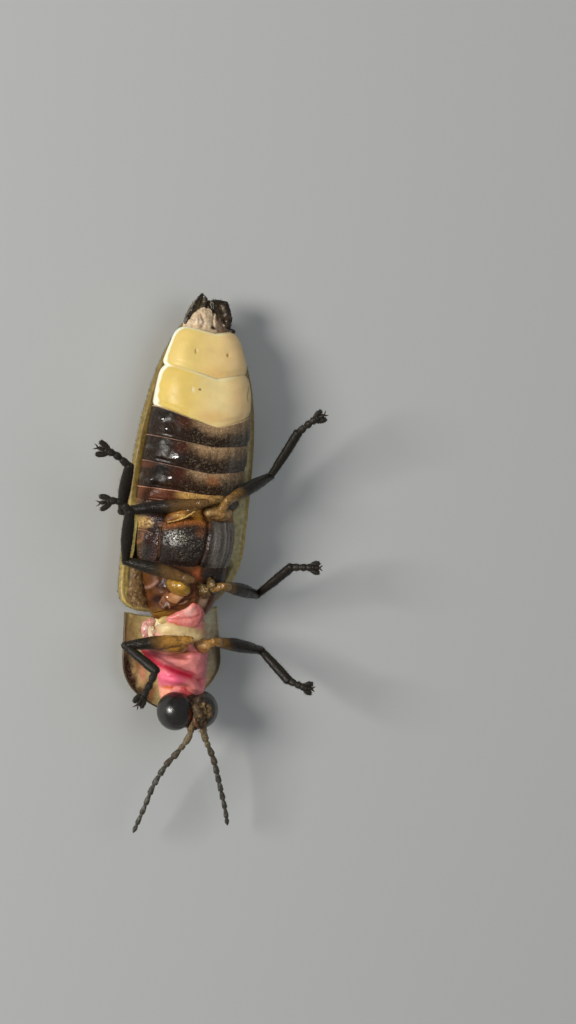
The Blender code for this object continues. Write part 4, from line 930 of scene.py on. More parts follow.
def metathorax():
    """The hind ring: two glossy bulging plates with a groove between, and their side plates."""
    y = np.linspace(1.3, 3.85, 190)
    places = (1.3, 1.52, 1.66, 2.1, 2.6, 2.98, 3.1, 3.85)
    half = np.interp(y, places, (1.38, 1.44, 1.52, 1.58, 1.6, 1.62, 1.62, 1.62))
    top = np.interp(y, places, (1.95, 2.02, 2.2, 2.4, 2.42, 2.22, 2.0, 1.9))
    middle = -0.12 - 0.13 * step(y, 2.6, 3.4)
    shell = sweep(body_rings(y, half, 0.6, 1.1, top, middle, 0, 2.2, 440))
    points = shell.points
    x, along = points[:, 0], points[:, 1]
    up = step(points[:, 2], 1.0, 1.5)
    left_seam = ((-1.27, 2.63), (-1.26, 2.2), (-1.2, 1.8), (-1.18, 1.4))
    right_seam = ((1.12, 2.8), (1.16, 2.2), (1.04, 1.5))
    push = -0.1 * line(points, ((0.24, 3.0), (0.2, 2.2), (0.12, 1.4)), 0.07)
    push += -0.1 * line(points, left_seam, 0.035) - 0.07 * line(points, right_seam, 0.04)
    push += (0.12 * spot(points, -0.5, 2.2, 0.72, 0.72, 0.95)
             + 0.05 * spot(points, 0.7, 2.2, 0.5, 0.75, 0.9))
    push += (0.08 * spot(points, -1.6, 2.25, 0.13, 0.3, 0.9)
             + 0.06 * spot(points, -1.74, 2.3, 0.09, 0.16, 0.9))
    push += (0.06 * spot(points, -1.72, 2.78, 0.2, 0.16, 0.8)
             - 0.06 * line(points, ((-1.85, 2.6), (-1.5, 2.53)), 0.03))
    push += 0.004 * rough(points, 0.1, 5, 2) * step(-x, -0.1, 0.1) * step(x, -1.25, -1.2)
    push += 0.012 * noise(points, 0.05, 8) * step(-x, 1.4, 1.5) * step(along, 2.6, 2.7)
    ridges = noise(points, (0.06, 1.2, 0.5), 6)
    push += 0.02 * ridges * step(x, 0.3, 0.6)
    shell.push(push * up)
    shell.paint((38, 27, 22))
    shell.paint((140, 132, 122), step(x, 0.3, 0.55) * (0.58 + 0.42 * ridges))
    shell.draw(((150, 88, 34), ((-1.3, 2.66), (-0.75, 2.86), (-0.2, 2.96), (0.16, 2.88)), 0.11, 1),
               ((80, 44, 26), ((0.05, 1.5), (0.2, 2.2), (0.16, 2.8)), 0.08, 0.6),
               ((110, 52, 32), ((1.24, 2.75), (1.36, 2.45), (1.4, 2.2)), 0.04, 1),
               ((52, 30, 24), ((-1.3, 1.5), (-0.7, 1.5), (-0.2, 1.4)), 0.12, 0.7))
    shell.paint((60, 29, 18), step(-x, 1.2, 1.28))
    shell.dab(((96, 50, 32), -1.52, 2.25, 0.13, 0.32, 0.8, 1),
              ((44, 22, 15), -1.5, 1.75, 0.24, 0.34, 0.8, 1),
              ((86, 42, 26), -1.74, 2.3, 0.1, 0.2, 0.8, 1))
    shell.draw(((166, 122, 84), left_seam, 0.02, 0.8),
               ((150, 96, 60), ((-1.7, 2.05), (-1.68, 2.42)), 0.014, 0.8),
               ((150, 96, 60), ((-1.82, 2.5), (-1.62, 2.5), (-1.48, 2.4)), 0.02, 0.9))
    membrane = spot(points, -1.72, 2.76, 0.3, 0.24, 0.4)
    shell.paint((196, 156, 90), membrane)
    shell.paint((120, 78, 40), membrane * step(noise(points, 0.06, 12), 0.0, 0.5) * 0.8)
    shell.dab(((130, 76, 36), -1.25, 2.74, 0.26, 0.14, 0.8, 0.9),
              ((120, 66, 34), -0.08, 2.6, 0.26, 0.22, 0.8, 0.7),
              ((216, 104, 54), 0.0, 1.36, 0.34, 0.16, 0.8, 1))
    shell.paint((120, 76, 32), step(along, 2.98, 3.12))
    shell.dab(((216, 150, 56), -0.1, 3.2, 0.3, 0.3, 0.7, 1),
              # A dark band under the hind left thigh: its painted shadow.
              ((50, 28, 14), -1.0, 3.35, 0.7, 0.2, 0.8, 0.9),
              ((206, 164, 96), 0.45, 3.3, 0.3, 0.35, 0.7, 0.9),
              ((42, 24, 16), 0.14, 3.3, 0.06, 0.36, 0.8, 0.9))
    shell.paint((50, 36, 30), step(-points[:, 2], -1.1, -0.8))
    # Painted glints: pale specks that stand for the sparkle of fine punctures on the glossy plate, thickest
    # on the left bulge.
    painted_glints = spot(points, -0.8, 2.42, 0.5, 0.4, 1) + 0.55 * spot(points, -0.4, 2.25, 0.85, 0.8, 0.5)
    shell.paint((168, 168, 148),
                np.clip(painted_glints, 0, 1) * step(noise(points, 0.022, 77) + 0.3 * painted_glints, 0.55, 0.85))
    shell.polish(0.45, up).polish(0.8, spot(points, -0.75, 2.4, 0.6, 0.45, 1))
    shell.polish(0.5, step(x, 0.1, 0.4)).polish(0.75, step(-x, 1.2, 1.3))
    return shell


# ---------------------------------------------------------------- abdomen

def abdomen_course(y):
    """The abdomen's middle and half width at places along it."""
    places, middle, half = np.array(ABDOMEN_COURSE).T
    return np.interp(y, places, middle), np.interp(y, places, half)


def abdomen_top(y):
    """Height of the belly's middle line."""
    return ABDOMEN_TOP - 0.16 * (1 - step(y, 3.6, 4.2)) - 0.75 * np.clip((y - 6.2) / 4, 0, None) ** 1.7


def belly_plate(start, end, rows, tuck, lip, corner=0.0):
    """One plate of the belly, from under the one before it to its own hind border. tuck is how
    deep its front lies, lip how far its hind border turns down and corner how far its hind
    corners are rounded off."""
    share = np.concatenate((np.linspace(0, 0.9, rows), 1 - 0.1 * np.cos(
        np.linspace(0, np.pi / 2, 12)[1:]), np.ones(6)))
    y = start[0] + (end[0] - start[0]) * share
    bend = start[1] + (end[1] - start[1]) * share
    fall = np.zeros(len(share))
    fall[-6:] = lip * np.linspace(0.15, 1, 6)
    inset = tuck * (1 - step(share, 0, 0.16)) + fall + 0.3 * lip * step(share, 0.965, 1.0)
    rounded = corner * (1 - np.sqrt(1 - np.clip((share - 0.75) / 0.25, 0, 1) ** 2))
    rounded += 0.4 * corner * (1 - np.sqrt(1 - np.clip(1 - share / 0.12, 0, 1) ** 2))
    tail = np.clip((y - 7) / 2, 0, None)
    y = y - np.where(fall > 0, 0.25 * fall, 0)
    middle, half = abdomen_course(y)
    rings = body_rings(y, half - inset - rounded, ABDOMEN_LOW + 0.35 * tail, ABDOMEN_SIDE + 0.12 * tail,
                       abdomen_top(y) - inset, middle, bend, 2.4, PLATE_AROUND, PLATE_APEX)
    shell = sweep(rings)
    shell.share = np.concatenate((np.repeat(share, PLATE_AROUND), (1.0, 0.0)))
    middle, half = abdomen_course(shell.points[:, 1])
    shell.side = (shell.points[:, 0] - middle) / half
    return shell


def abdomen():
    """The dark belly plates two to five."""
    shells = []
    starts = {2: (3.55, 0.0), 3: PLATES[2], 4: PLATES[3], 5: PLATES[4]}
    # Wet humps that gleam: x, y, reach and height
    gleams = ((-1.36, 5.78, 0.24, 0.055), (-1.52, 6.08, 0.12, 0.03), (-0.93, 4.97, 0.34, 0.08),
              (-1.72, 5.16, 0.12, 0.03), (-1.08, 4.24, 0.18, 0.05), (-1.9, 4.22, 0.18, 0.04),
              (-1.7, 4.1, 0.12, 0.03))
    for number, start in starts.items():
        end = PLATES[number]
        shell = belly_plate((start[0] - 0.1, start[1]), end, 40, 0.1, 0.09)
        points, share = shell.points, shell.share
        x = points[:, 0]
        up = step(points[:, 2], 1.0, 1.4)
        right = step(x, 0.35, 0.95)
        wet = np.zeros(len(points))
        push = np.zeros(len(points))
        for place_x, place_y, reach, high in gleams:
            push += high * spot(points, place_x, place_y, reach, reach, 1)
            wet += spot(points, place_x, place_y, reach * 0.9, reach * 0.8, 0.6)
        streaks = noise(points, (0.08, 0.9, 0.4), 3 + number)
        push += 0.05 * np.sin(np.pi * share ** 0.8) + 0.005 * rough(points, 0.1, number)
        push += 0.016 * streaks * right - 0.03 * bump(share, 0.2, 0.06)
        hollow = {4: (-1.72, 5.42), 5: (-1.5, 6.3)}.get(number, (0, 0))
        push += -0.04 * spot(points, *hollow, 0.2, 0.14, 1)
        push += 0.02 * noise(points, 0.26, 30 + number) * step(-x, 0.5, 1.0)
        push += wet * 0.005 * noise(points, 0.06, 60)
        push += -0.06 * line(points, ((1.32, 3.7), (1.38, 5.0), (1.3, 5.9)), 0.05)
        shell.push(push * up * step(1 - share, 0, 0.05))
        shell.paint((44, 26, 14) if number == 3 else (38, 25, 17))
        shell.dab(((66, 31, 21), -0.9, start[0] + 0.5, 0.55, 0.34, 0.9, 0.8),
                  ((100, 68, 44), -0.2, start[0] + 0.4, 0.4, 0.3, 1, 0.6),
                  ((26, 21, 17), -1.45, end[0] - 0.3, 0.4, 0.34, 0.8, 0.8))
        # Grey on the right side, streaked: a painted sheen.
        shell.paint((92, 88, 82), right * (0.6 + 0.4 * streaks))
        glow = step(share + 0.12 * noise(points, 0.1, 9) - 0.12 * step(-x, -0.4, 0.8), 0.4, 0.95)
        shell.paint((176, 142, 104), glow * step(x, -0.9, -0.3) * (1 - 0.4 * right) * 0.95)
        speck = step(noise(points, 0.04, 50 + number), 0.3, 0.7) * (1 - 0.8 * step(-x, 0.4, 1.0))
        shell.paint((166, 148, 118), speck * (0.3 + 0.4 * glow))
        shell.paint((130, 104, 88), step(share, 0.945, 0.97) * 0.85)
        if number < 5:
            shell.paint((166, 132, 116), step(share, 0.95, 0.975) * step(-x, 0.6, 1.2) * 0.8)
        if number == 3:
            shell.dab(((144, 88, 50), 0.2, 4.3, 0.4, 0.26, 1, 0.9),
                      ((92, 54, 34), -1.8, 4.6, 0.3, 0.16, 0.8, 0.9))
        if number == 2:
            shell.paint((108, 60, 32), step(-x, 0.9, 1.4) * up)
            shell.dab(((84, 40, 22), -1.15, 3.6, 0.6, 0.36, 0.9, 1),
                      ((204, 156, 86), -0.1, 3.75, 1.0, 0.34, 0.5, 1),
                      ((216, 170, 98), -0.3, 3.8, 0.6, 0.1, 0.8, 0.8))
            shell.paint((206, 150, 122), step(share, 0.9, 0.96) * step(-x, -0.9, 0.2))
            shell.dab(((190, 150, 88), 0.6, 3.82, 0.5, 0.22, 0.8, 0.9))
        if number == 5:
            shell.paint((206, 182, 140), step(share, 0.965, 0.985) * 0.9)
        shell.paint((60, 44, 38), step(-points[:, 2], -1.05, -0.8) * 0.8)
        shell.polish(0.5 + 0.05 * noise(points, 0.2, 17)).polish(0.61, step(-x, 0.3, 0.8))
        shell.polish(1.0, wet)
        shells.append(shell)
    return shells


def lantern(number):
    """A waxy pale lantern plate with rounded hind corners and a painted white highlight along its left
    edge.
    """
    start, end = PLATES[number - 1], PLATES[number]
    shell = belly_plate((start[0] - 0.08, start[1]), end, 70, 0.08, 0.1, 0.24)
    points, share, side = shell.points, shell.share, shell.side
    up = step(points[:, 2], 1.0, 1.3)
    push = 0.03 * np.sin(np.pi * share) + 0.008 * rough(points, (0.5, 0.3, 0.4), number, 2)
    push += -0.03 * bump(share, 0.14, 0.05)
    pits = {6: ((-0.73, 7.1, 0.03, 0.14, 0.05), (-0.51, 7.14, 0.05, 0.05, 0.05)),
            7: ((-0.71, 8.34, 0.05, 0.13, 0.05), (0.37, 8.33, 0.07, 0.09, 0.04))}[number]
    for x, y, reach_x, reach_y, deep in pits:
        push -= deep * spot(points, x, y, reach_x, reach_y, 1)
    crease = ((1.28, 7.42), (1.2, 7.1), (1.26, 6.95))
    if number == 6:
        push -= 0.03 * line(points, crease, 0.025)
    shell.push(push * up * step(1 - share, 0, 0.05))
    facing = shell.normals() @ (-0.36, 0, 0.93)
    shell.paint((242, 218, 156) if number == 6 else (242, 212, 144))
    shell.paint((214, 186, 100) if number == 6 else (218, 192, 116), step(-side, -0.1, 0.65) * 0.95)
    shell.paint((240, 206, 150), step(side, 0.1, 0.6) * 0.9)
    shell.paint((196, 172, 124), step(side, 0.72, 0.95) * 0.9)
    # Painted highlight: a white band along the left edge where the surface turns from the view, and cream
    # again past it.
    painted_edge_highlight = step(-facing, -0.62, -0.48) * step(-side, 0.3, 0.6)
    shell.paint((255, 250, 226), painted_edge_highlight)
    shell.paint((222, 198, 140), step(-facing, -0.3, -0.05) * step(-side, 0.3, 0.6))
    shell.paint((250, 234, 190), step(share, 0.93, 0.98) * 0.6 * step(-side, -0.7, -0.2))
    shell.dab(((226, 182, 116), 0.0, start[0] - 0.2, 0.9, 0.4, 1, 0.7))
    if number == 6:
        shell.dab(((90, 66, 40), -0.51, 7.14, 0.06, 0.05, 0.8, 1),
                  # A white streak in the slit: a painted glint.
                  ((255, 252, 236), -0.74, 7.1, 0.035, 0.15, 1, 1))
        shell.draw(((130, 108, 74), crease, 0.018, 0.8))
    else:
        shell.dab(((196, 154, 100), -0.71, 8.34, 0.07, 0.14, 1, 0.9),
                  ((186, 148, 100), 0.37, 8.33, 0.09, 0.11, 1, 0.9))
    shell.paint((74, 60, 40), step(-points[:, 2], -1.15, -0.9) * 0.9)
    shell.polish(0.4 + 0.15 * noise(points, 0.4, 2))
    return shell


def tail():
    """The last pale plate, and the dark lobes beside the tail's end."""
    y = np.linspace(9.0, 9.8, 60)
    half = np.interp(y, (9.0, 9.27, 9.5, 9.68, 9.78, 9.8), (0.76, 0.7, 0.54, 0.36, 0.16, 0.1))
    middle = np.interp(y, (9.0, 9.27, 9.8), (-0.24, -0.26, -0.32))
    plate = sweep(body_rings(y, half, 0.98, 1.2, np.interp(y, (9, 9.3, 9.6, 9.8), (1.56, 1.58, 1.55, 1.45)),
                             middle, np.interp(y, (9.0, 9.5), (0.14, 0.04)), 2.4, 160, PLATE_APEX))
    points = plate.points
    fold = ((-0.55, 9.55), (-0.42, 9.3), (-0.45, 9.15))
    plate.push(0.03 * rough(points, (0.14, 0.3, 0.2), 4) + 0.015 * noise(points, 0.06, 5)
               - 0.09 * line(points, ((-0.1, 9.78), (-0.1, 9.2)), 0.05)
               - 0.05 * line(points, fold, 0.04)
               - 0.06 * line(points, ((0.22, 9.6), (0.26, 9.3)), 0.04))
    plate.paint((204, 180, 148)).paint((120, 98, 80), step(points[:, 0], -0.08, 0.1))
    plate.dab(((232, 212, 182), -0.5, 9.3, 0.3, 0.14, 0.9, 0.8),
              ((52, 38, 30), -0.08, 9.16, 0.16, 0.1, 0.8, 1),
              ((48, 38, 30), 0.02, 9.5, 0.12, 0.2, 0.8, 0.9),
              ((214, 200, 176), 0.3, 9.3, 0.08, 0.06, 0.8, 1),
              ((150, 112, 104), 0.3, 9.5, 0.14, 0.2, 0.8, 0.8))
    plate.paint((150, 116, 96), step(noise(points, (0.08, 0.3, 0.2), 8), 0.3, 0.8) * 0.45)
    plate.draw(((140, 108, 92), fold, 0.03, 0.7))
    shells = [plate]
    # Each lobe: places along it with its left and right edge and half thickness
    for table, colour in (
            (((9.2, -1.02, -0.5, 0.1), (9.45, -0.98, -0.42, 0.14), (9.7, -0.87, -0.3, 0.17),
              (9.95, -0.73, -0.26, 0.15), (10.1, -0.63, -0.3, 0.11), (10.21, -0.55, -0.42, 0.05),
              (10.24, -0.5, -0.46, 0.02)), (70, 60, 42)),
            (((9.2, 0.02, 0.6, 0.12), (9.45, -0.06, 0.61, 0.16), (9.7, -0.16, 0.58, 0.18),
              (9.93, -0.22, 0.47, 0.15), (10.02, -0.18, 0.45, 0.12), (10.07, -0.08, 0.42, 0.08),
              (10.09, 0.05, 0.38, 0.05)), (58, 45, 31))):
        places, left, right, thick = np.array(table).T
        along = np.linspace(places[0], places[-1], 60)
        left, right, thick = (np.interp(along, places, value) for value in (left, right, thick))
        lobe = sweep(body_rings(along, (right - left) / 2, 1.27 - thick, 1.27, 1.27 + thick,
                                (left + right) / 2, 0, 2.2, 90))
        where = lobe.points
        reach = np.interp(where[:, 1], along, (right - left) / 2)
        offset = np.abs(where[:, 0] - np.interp(where[:, 1], along, (left + right) / 2))
        lobe.push(0.025 * rough(where, 0.12, 6)
                  - 0.08 * bump(offset / reach, 0, 0.4) * (where[:, 2] > 1.28))
        lobe.paint(colour).paint((30, 25, 20), step(offset / reach, 0.35, 0.75))
        lobe.paint((150, 136, 110), step(offset / reach, 0.88, 0.96) * 0.5)
        lobe.paint((120, 104, 70), step(noise(where, 0.1, 9), 0.3, 0.7) * 0.4)
        lobe.paint((32, 27, 22), step(where[:, 1], 9.95, 10.2) * 0.6).polish(0.75)
        lobe.ahead = np.tile((0.0, 1.0, 0.0), (len(where), 1))
        shells.append(lobe)
    knob = blob((0.64, 9.13, 1.3), (0.12, 0.1, 0.1))
    knob.push(0.02 * rough(knob.points, 0.08, 2)).paint((40, 33, 26)).polish(0.8)
    middle = limb(((-0.17, 9.5, 1.24), (-0.22, 9.8, 1.25), (-0.24, 9.98, 1.22)),
                  (0.2, 0.17, 0.08), 30, 0.6, count=24)
    middle.push(0.03 * rough(middle.points, 0.07, 3)).paint((34, 28, 24))
    middle.mottle((150, 140, 100), 0.09, 7, 0.4, 0.6)
    return shells + [knob, middle]


# ---------------------------------------------------------------- head

def in_head(points):
    """Points of the head's own frame in the body's frame."""
    roll = np.array(Matrix.Rotation(HEAD_ROLL, 3, "Y"))
    return turned(np.asarray(points, float) @ roll.T, HEAD_TURN, HEAD_CENTRE)


def eye(side):
    """A big round eye of very fine facets."""
    shell = blob((0, 0, 0), (1, 1, 1), around=90, along=60)
    shell.points = in_head(shell.unit * EYE_RADII + (side * EYE_OFFSET, 0, EYE_HEIGHT))
    shell.paint((30, 25, 23) if side < 0 else (62, 58, 52))
    # A red-brown patch on the eyes' inner sides: a painted sheen.
    shell.dab(((120, 52, 30), HEAD_CENTRE[0] - 0.1, HEAD_CENTRE[1] - 0.1, 0.16, 0.34, 1, 0.9))
    shell.polish(0.9)
    return shell


def head():
    """The dark head between the eyes, with its mouthparts."""
    shells = []
    capsule = blob((0, 0, 0), (0.46, 0.57, 0.6), around=70, along=44)
    capsule.points = in_head(capsule.points)
    capsule.push(0.03 * rough(capsule.points, 0.16, 3))
    capsule.paint((62, 50, 40)).paint((84, 62, 40), spot(capsule.points, 0.62, -2.9, 0.3, 0.3, 1))
    shells.append(capsule)
    frons = limb(in_head(((0, -0.2, 0.15), (0, -0.4, 0.3), (0, -0.52, 0.34))), (0.32, 0.3, 0.17), 36,
                 count=22)
    frons.push(0.03 * rough(frons.points, 0.1, 5)).paint((100, 88, 68))
    frons.mottle((48, 40, 31), 0.1, 6, -0.2, 0.5, 0.8)
    neck = limb(in_head(((0, 0.3, -0.08), (-0.03, 0.6, -0.14), (-0.05, 0.9, -0.2))),
                (0.38, 0.38, 0.4), 40, count=16)
    neck.paint((190, 76, 78))
    neck.bare = True
    shells += [frons, neck]
    bed = blob((0, 0, 0), (0.38, 0.5, 0.27), around=80, along=46)
    bed.points = in_head(bed.points + (0.02, -0.02, 0.54))
    where = bed.points - HEAD_CENTRE
    bed.push(0.08 * rough(bed.points, 0.12, 8) - 0.05 * line(where, ((0, 0.4), (0, -0.4)), 0.04))
    bed.paint((74, 60, 46))
    golden = step(1 - np.hypot((where[:, 0] - 0.26) / 0.3, (where[:, 1] - 0.02) / 0.36), 0, 0.5)
    bed.paint((196, 158, 108), golden * (0.8 + 0.2 * noise(bed.points, 0.07, 4)))
    bed.mottle((74, 52, 36), 0.06, 6, 0.2, 0.6, 0.5)
    shells.append(bed)
    for side in (-1, 1):
        jaw = limb(in_head(((side * 0.17, -0.12, 0.6), (side * 0.2, -0.36, 0.66),
                            (side * 0.06, -0.5, 0.7), (-side * 0.05, -0.46, 0.72))),
                   (0.09, 0.08, 0.05, 0.02), 16, count=20)
        jaw.paint((110, 74, 46)).paint((44, 32, 24), step(jaw.along, 0.5, 0.9)).polish(0.6)
        # Joints of the long palp and of the short one: path and radii
        palp = [
            (((0.13, 0.14, 0.62), (0.22, 0.2, 0.72)), (0.08, 0.1)),
            (((0.23, 0.21, 0.73), (0.31, 0.15, 0.82)), (0.09, 0.115)),
            (((0.32, 0.14, 0.83), (0.29, 0.0, 0.9)), (0.1, 0.12)),
            (((0.29, -0.02, 0.9), (0.19, -0.2, 0.9)), (0.11, 0.135, 0.1, 0.03)),
            (((0.07, 0.12, 0.7), (0.11, 0.05, 0.8)), (0.06, 0.075)),
            (((0.11, 0.04, 0.81), (0.07, -0.08, 0.86)), (0.07, 0.09, 0.035)),
        ]
        for number, (path, radii) in enumerate(palp):
            joint = limb(in_head([(side * 0.84 * x, y, z - 0.06) for x, y, z in path]), radii, 18,
                         count=12)
            joint.push(0.014 * rough(joint.points, 0.06, 5))
            joint.paint((120, 98, 70) if number < 4 else (196, 160, 112))
            joint.mottle((180, 146, 98), 0.08, 3, -0.2, 0.4, 0.7)
            joint.paint((60, 47, 34), step(side * joint.points[:, 0], side * 0.9, side * 0.9 + 0.1) * 0.6)
            shells.append(joint)
        base = ((0.54, -3.28, 2.0), (0.54, -3.46, 1.96), (0.54, -3.72, 1.87)) if side < 0 else \
            ((0.84, -3.36, 1.92), (0.92, -3.54, 1.9), (0.98, -3.7, 1.83))
        socket = limb(base, (0.06, 0.09, 0.115, 0.115), 22, 0.8, count=18)
        socket.push(0.012 * rough(socket.points, 0.08, 6)).paint((126, 104, 70))
        socket.mottle((84, 68, 44), 0.08, 7, 0.0, 0.6, 0.7).polish(0.9)
        shells += [jaw, socket]
    return shells


def antenna(path):
    """Eleven joints, each wider towards its end, on pale narrow necks."""
    lengths = np.array((1.25, 0.55) + (1.0,) * 9)
    marks = np.concatenate(([0], np.cumsum(lengths))) / lengths.sum()
    steps = 240
    route = smooth_path(path, steps + 1)
    radii = [0.115, 0.095] + [0.108 - 0.004 * k for k in range(9)]
    shells = []
    for k in range(11):
        begin, end = (round(steps * mark) for mark in marks[k:k + 2])
        points = route[begin:end + 1]
        radius = radii[k]
        profile = (0.5, 0.62, 0.74, 0.84, 0.93, 1.0, 0.98) if k > 1 else \
            (0.6, 0.8, 0.9, 0.96, 0.98, 0.96, 0.75)
        if k == 10:
            profile = (0.42, 0.62, 0.82, 0.92, 0.85, 0.62, 0.25)
        joint = limb(points[::max(1, len(points) // 5)], np.array(profile) * radius, 22, 0.85,
                     count=24)
        joint.paint((64, 63, 56) if k > 1 else (114, 96, 68))
        joint.mottle((110, 106, 94), 0.06, 20 + k, 0.0, 0.5, 0.7)
        if k in (2, 3):
            joint.paint((84, 68, 50), 0.5)
        joint.paint((140, 128, 104), step(-joint.along, -0.12, -0.02) * 0.8)
        joint.polish(0.5)
        shells.append(joint)
    return shells


# ---------------------------------------------------------------- legs

def foot(ankle, bend, toe, spread):
    """Five joints, the fourth split into two broad lobes, and two claws."""
    route = smooth_path((ankle, bend, toe), 101)
    lobe_start, lobe_end, claw_start = 62, 92, 94       # hundredths of the way along the foot
    shells = []
    # Start and end of each joint along the foot, and its radii
    joints = ((0.0, 0.31, (0.095, 0.11, 0.125, 0.11)), (0.31, 0.5, (0.08, 0.105, 0.12, 0.11)),
              (0.5, 0.66, (0.075, 0.105, 0.12, 0.11)), (0.64, 0.74, (0.06, 0.08, 0.09)),
              (0.76, 0.95, (0.05, 0.055, 0.065, 0.06)))
    for begin, end, radii in joints:
        points = route[round(100 * begin):round(100 * end) + 1]
        shells.append(limb(points[::max(1, len(points) // 4)], radii, 20, 0.8, count=16))
    ahead = toe - bend
    ahead = ahead / np.linalg.norm(ahead)
    sideways = np.cross(ahead, (0, 0, 1.0))
    sideways /= np.linalg.norm(sideways)
    for side in (-1, 1):
        root = route[lobe_start] + sideways * side * 0.03
        tip = route[lobe_end] + sideways * side * spread - (0, 0, 0.02)
        shells.append(limb((root, (root + tip) / 2 + sideways * side * 0.02, tip),
                           (0.05, 0.07, 0.088, 0.095, 0.075), 20, 0.5, count=20))
    for shell in shells:
        shell.paint((42, 38, 32)).paint((84, 76, 62), step(-shell.along, -0.1, 0) * 0.5)
        shell.polish(0.5)
    for side in (-1, 1):
        claw = limb((route[claw_start], toe + ahead * 0.02 + sideways * side * 0.06,
                     toe + ahead * 0.08 + sideways * side * 0.09 - (0, 0, 0.05)),
                    (0.03, 0.024, 0.005), 10, count=14)
        claw.paint((50, 36, 24)).polish(0.8)
        claw.bare = True
        shells.append(claw)
    return shells


def leg(name, coxa, coxa_radii, coxa_turn, hip, knee, ankle, bend, toe):
    """A leg from its hip plate to its claws."""
    coxa, hip, knee, ankle, bend, toe = (np.array(place) for place in
                                         (coxa, hip, knee, ankle, bend, toe))
    # How far the amber of its root reaches, and the colours of its hip plate
    reach, glassy, deep, root = {
        "leg_front_left": (0.44, (176, 124, 42), (110, 66, 24), (166, 118, 50)),
        "leg_middle_left": (0.4, (176, 132, 44), (130, 92, 30), (104, 76, 38)),
        "leg_hind_left": (0.3, (150, 100, 40), (92, 54, 22), (104, 74, 34)),
        "leg_front_right": (0.12, (172, 130, 76), (140, 96, 50), (150, 108, 48)),
        "leg_middle_right": (0.1, (122, 98, 58), (80, 60, 36), (138, 100, 46)),
        "leg_hind_right": (0.16, (160, 124, 72), (110, 78, 42), (140, 104, 52)),
    }[name]
    low = coxa - (0, 0, 0.1)
    plate = blob(low, np.array(coxa_radii) + (0, 0, 0.1), coxa_turn, 60, 40)
    uneven = 0.06 if name.endswith("right") else 0.012
    plate.push(uneven * rough(plate.points, 0.25, 3))
    if name == "leg_middle_right":
        plate.push(0.1 * rough(plate.points, 0.14, 8)
                   - 0.14 * line(plate.points, ((0.3, 1.1), (0.7, 0.6)), 0.06))
    if name == "leg_middle_left":
        plate.push(0.1 * spot(plate.points, -0.42, 0.9, 0.25, 0.22, 1))
    plate.paint(glassy).mottle(deep, 0.25, 5, 0.0, 0.7, 0.7)
    plate.paint(deep, step(-plate.unit[:, 1], 0.0, 0.6) * 0.7)
    plate.paint((84, 50, 22), step(-plate.unit[:, 2], -0.35, 0.1))
    plate.polish(0.8 if name.endswith("right") else 1.0)
    plate.bare = True
    if name == "leg_middle_left":
        plate.polish(0.7, step(-plate.points[:, 0], 0.6, 0.68))
    if name == "leg_hind_left":
        plate.polish(0.6, step(-plate.points[:, 0], 0.8, 1.0))
        plate.paint((96, 56, 24), step(-plate.points[:, 0], 0.8, 1.1) * 0.8)
    neck = limb((coxa * 0.7 + hip * 0.3, hip), (0.16, 0.14, 0.13), 24, count=12)
    neck.paint(root).polish(0.9)
    ahead = (knee - hip) / np.linalg.norm(knee - hip)
    ring = limb((hip - ahead * 0.12, hip + ahead * 0.2), (0.11, 0.14, 0.155, 0.14), 26, count=16)
    ring.paint(root).mottle(glassy, 0.3, 5, 0, 0.8, 0.5).polish(0.95)
    thigh = limb((hip + ahead * 0.12, (hip + knee) / 2 + (0, 0.02, 0.03), knee),
                 (0.14, 0.18, 0.205, 0.21, 0.205, 0.185, 0.155, 0.125), 28, 0.85, count=50)
    thigh.push(0.005 * rough(thigh.points, (0.1, 0.1, 0.1), 6))
    fade = step(-thigh.along + 0.06 * noise(thigh.points, 0.2, 3), -reach - 0.2, -reach + 0.16)
    thigh.paint((32, 27, 20)).paint(root, fade)
    thigh.paint((80, 52, 26), fade * step(noise(thigh.points, 0.16, 8), 0, 0.8) * 0.5)
    thigh.polish(0.7)
    swollen = 0.045 if name in ("leg_middle_left", "leg_hind_left") else 0.0
    shin_radii = np.array((0.11, 0.13, 0.145, 0.15, 0.155, 0.15))
    shin_radii = shin_radii + swollen * np.array((0, 0.6, 1, 1, 0.6, 0))
    shin = limb((knee, knee * 0.5 + ankle * 0.5 + (-0.6 * swollen, 0, 0.02), ankle), shin_radii,
                26, 0.85, count=40)
    shin.push(0.005 * rough(shin.points, 0.1, 4)).paint((32, 28, 22)).polish(0.55)
    joint = blob(knee, (0.125, 0.125, 0.12), 0, 30, 20)
    joint.paint((42, 37, 29)).polish(0.6)
    parts = [plate, neck, ring, thigh, shin, joint]
    if name == "leg_hind_left":
        plate.dab(((206, 160, 84), coxa[0] + 0.1, coxa[1] - 0.12, 0.6, 0.1, 0.8, 1))
        # A glossy ridge along the hind hip plate; its cream colour is partly the plate's pale edge and
        # partly a painted highlight.
        ridge = limb(((-1.12, 2.84, 2.2), (-0.76, 2.98, 2.33), (-0.44, 3.18, 2.4), (-0.18, 3.44, 2.42)),
                     (0.025, 0.035, 0.035, 0.02), 14, count=40)
        ridge.paint((206, 164, 92)).polish(1.0)
        parts.insert(1, ridge)
    return parts + foot(ankle, bend, toe, 0.2 if swollen else 0.15)


# ---------------------------------------------------------------- the firefly

WING_CASES = (("elytron_left", -1, 0.0), ("elytron_right", 1, RIGHT_SETBACK))
COAT_SLOTS = {"coat_belly": "dark_belly", "coat_limbs": "legs", "coat_head": "feelers",
              "coat_wing_cases": "wing_cases"}
coats = {coat_name: [] for coat_name in COAT_SLOTS}


def grow(coat_name, *growth, **looks):
    """Add hairs to a coat."""
    coats[coat_name].append(hairs(*growth, **looks))


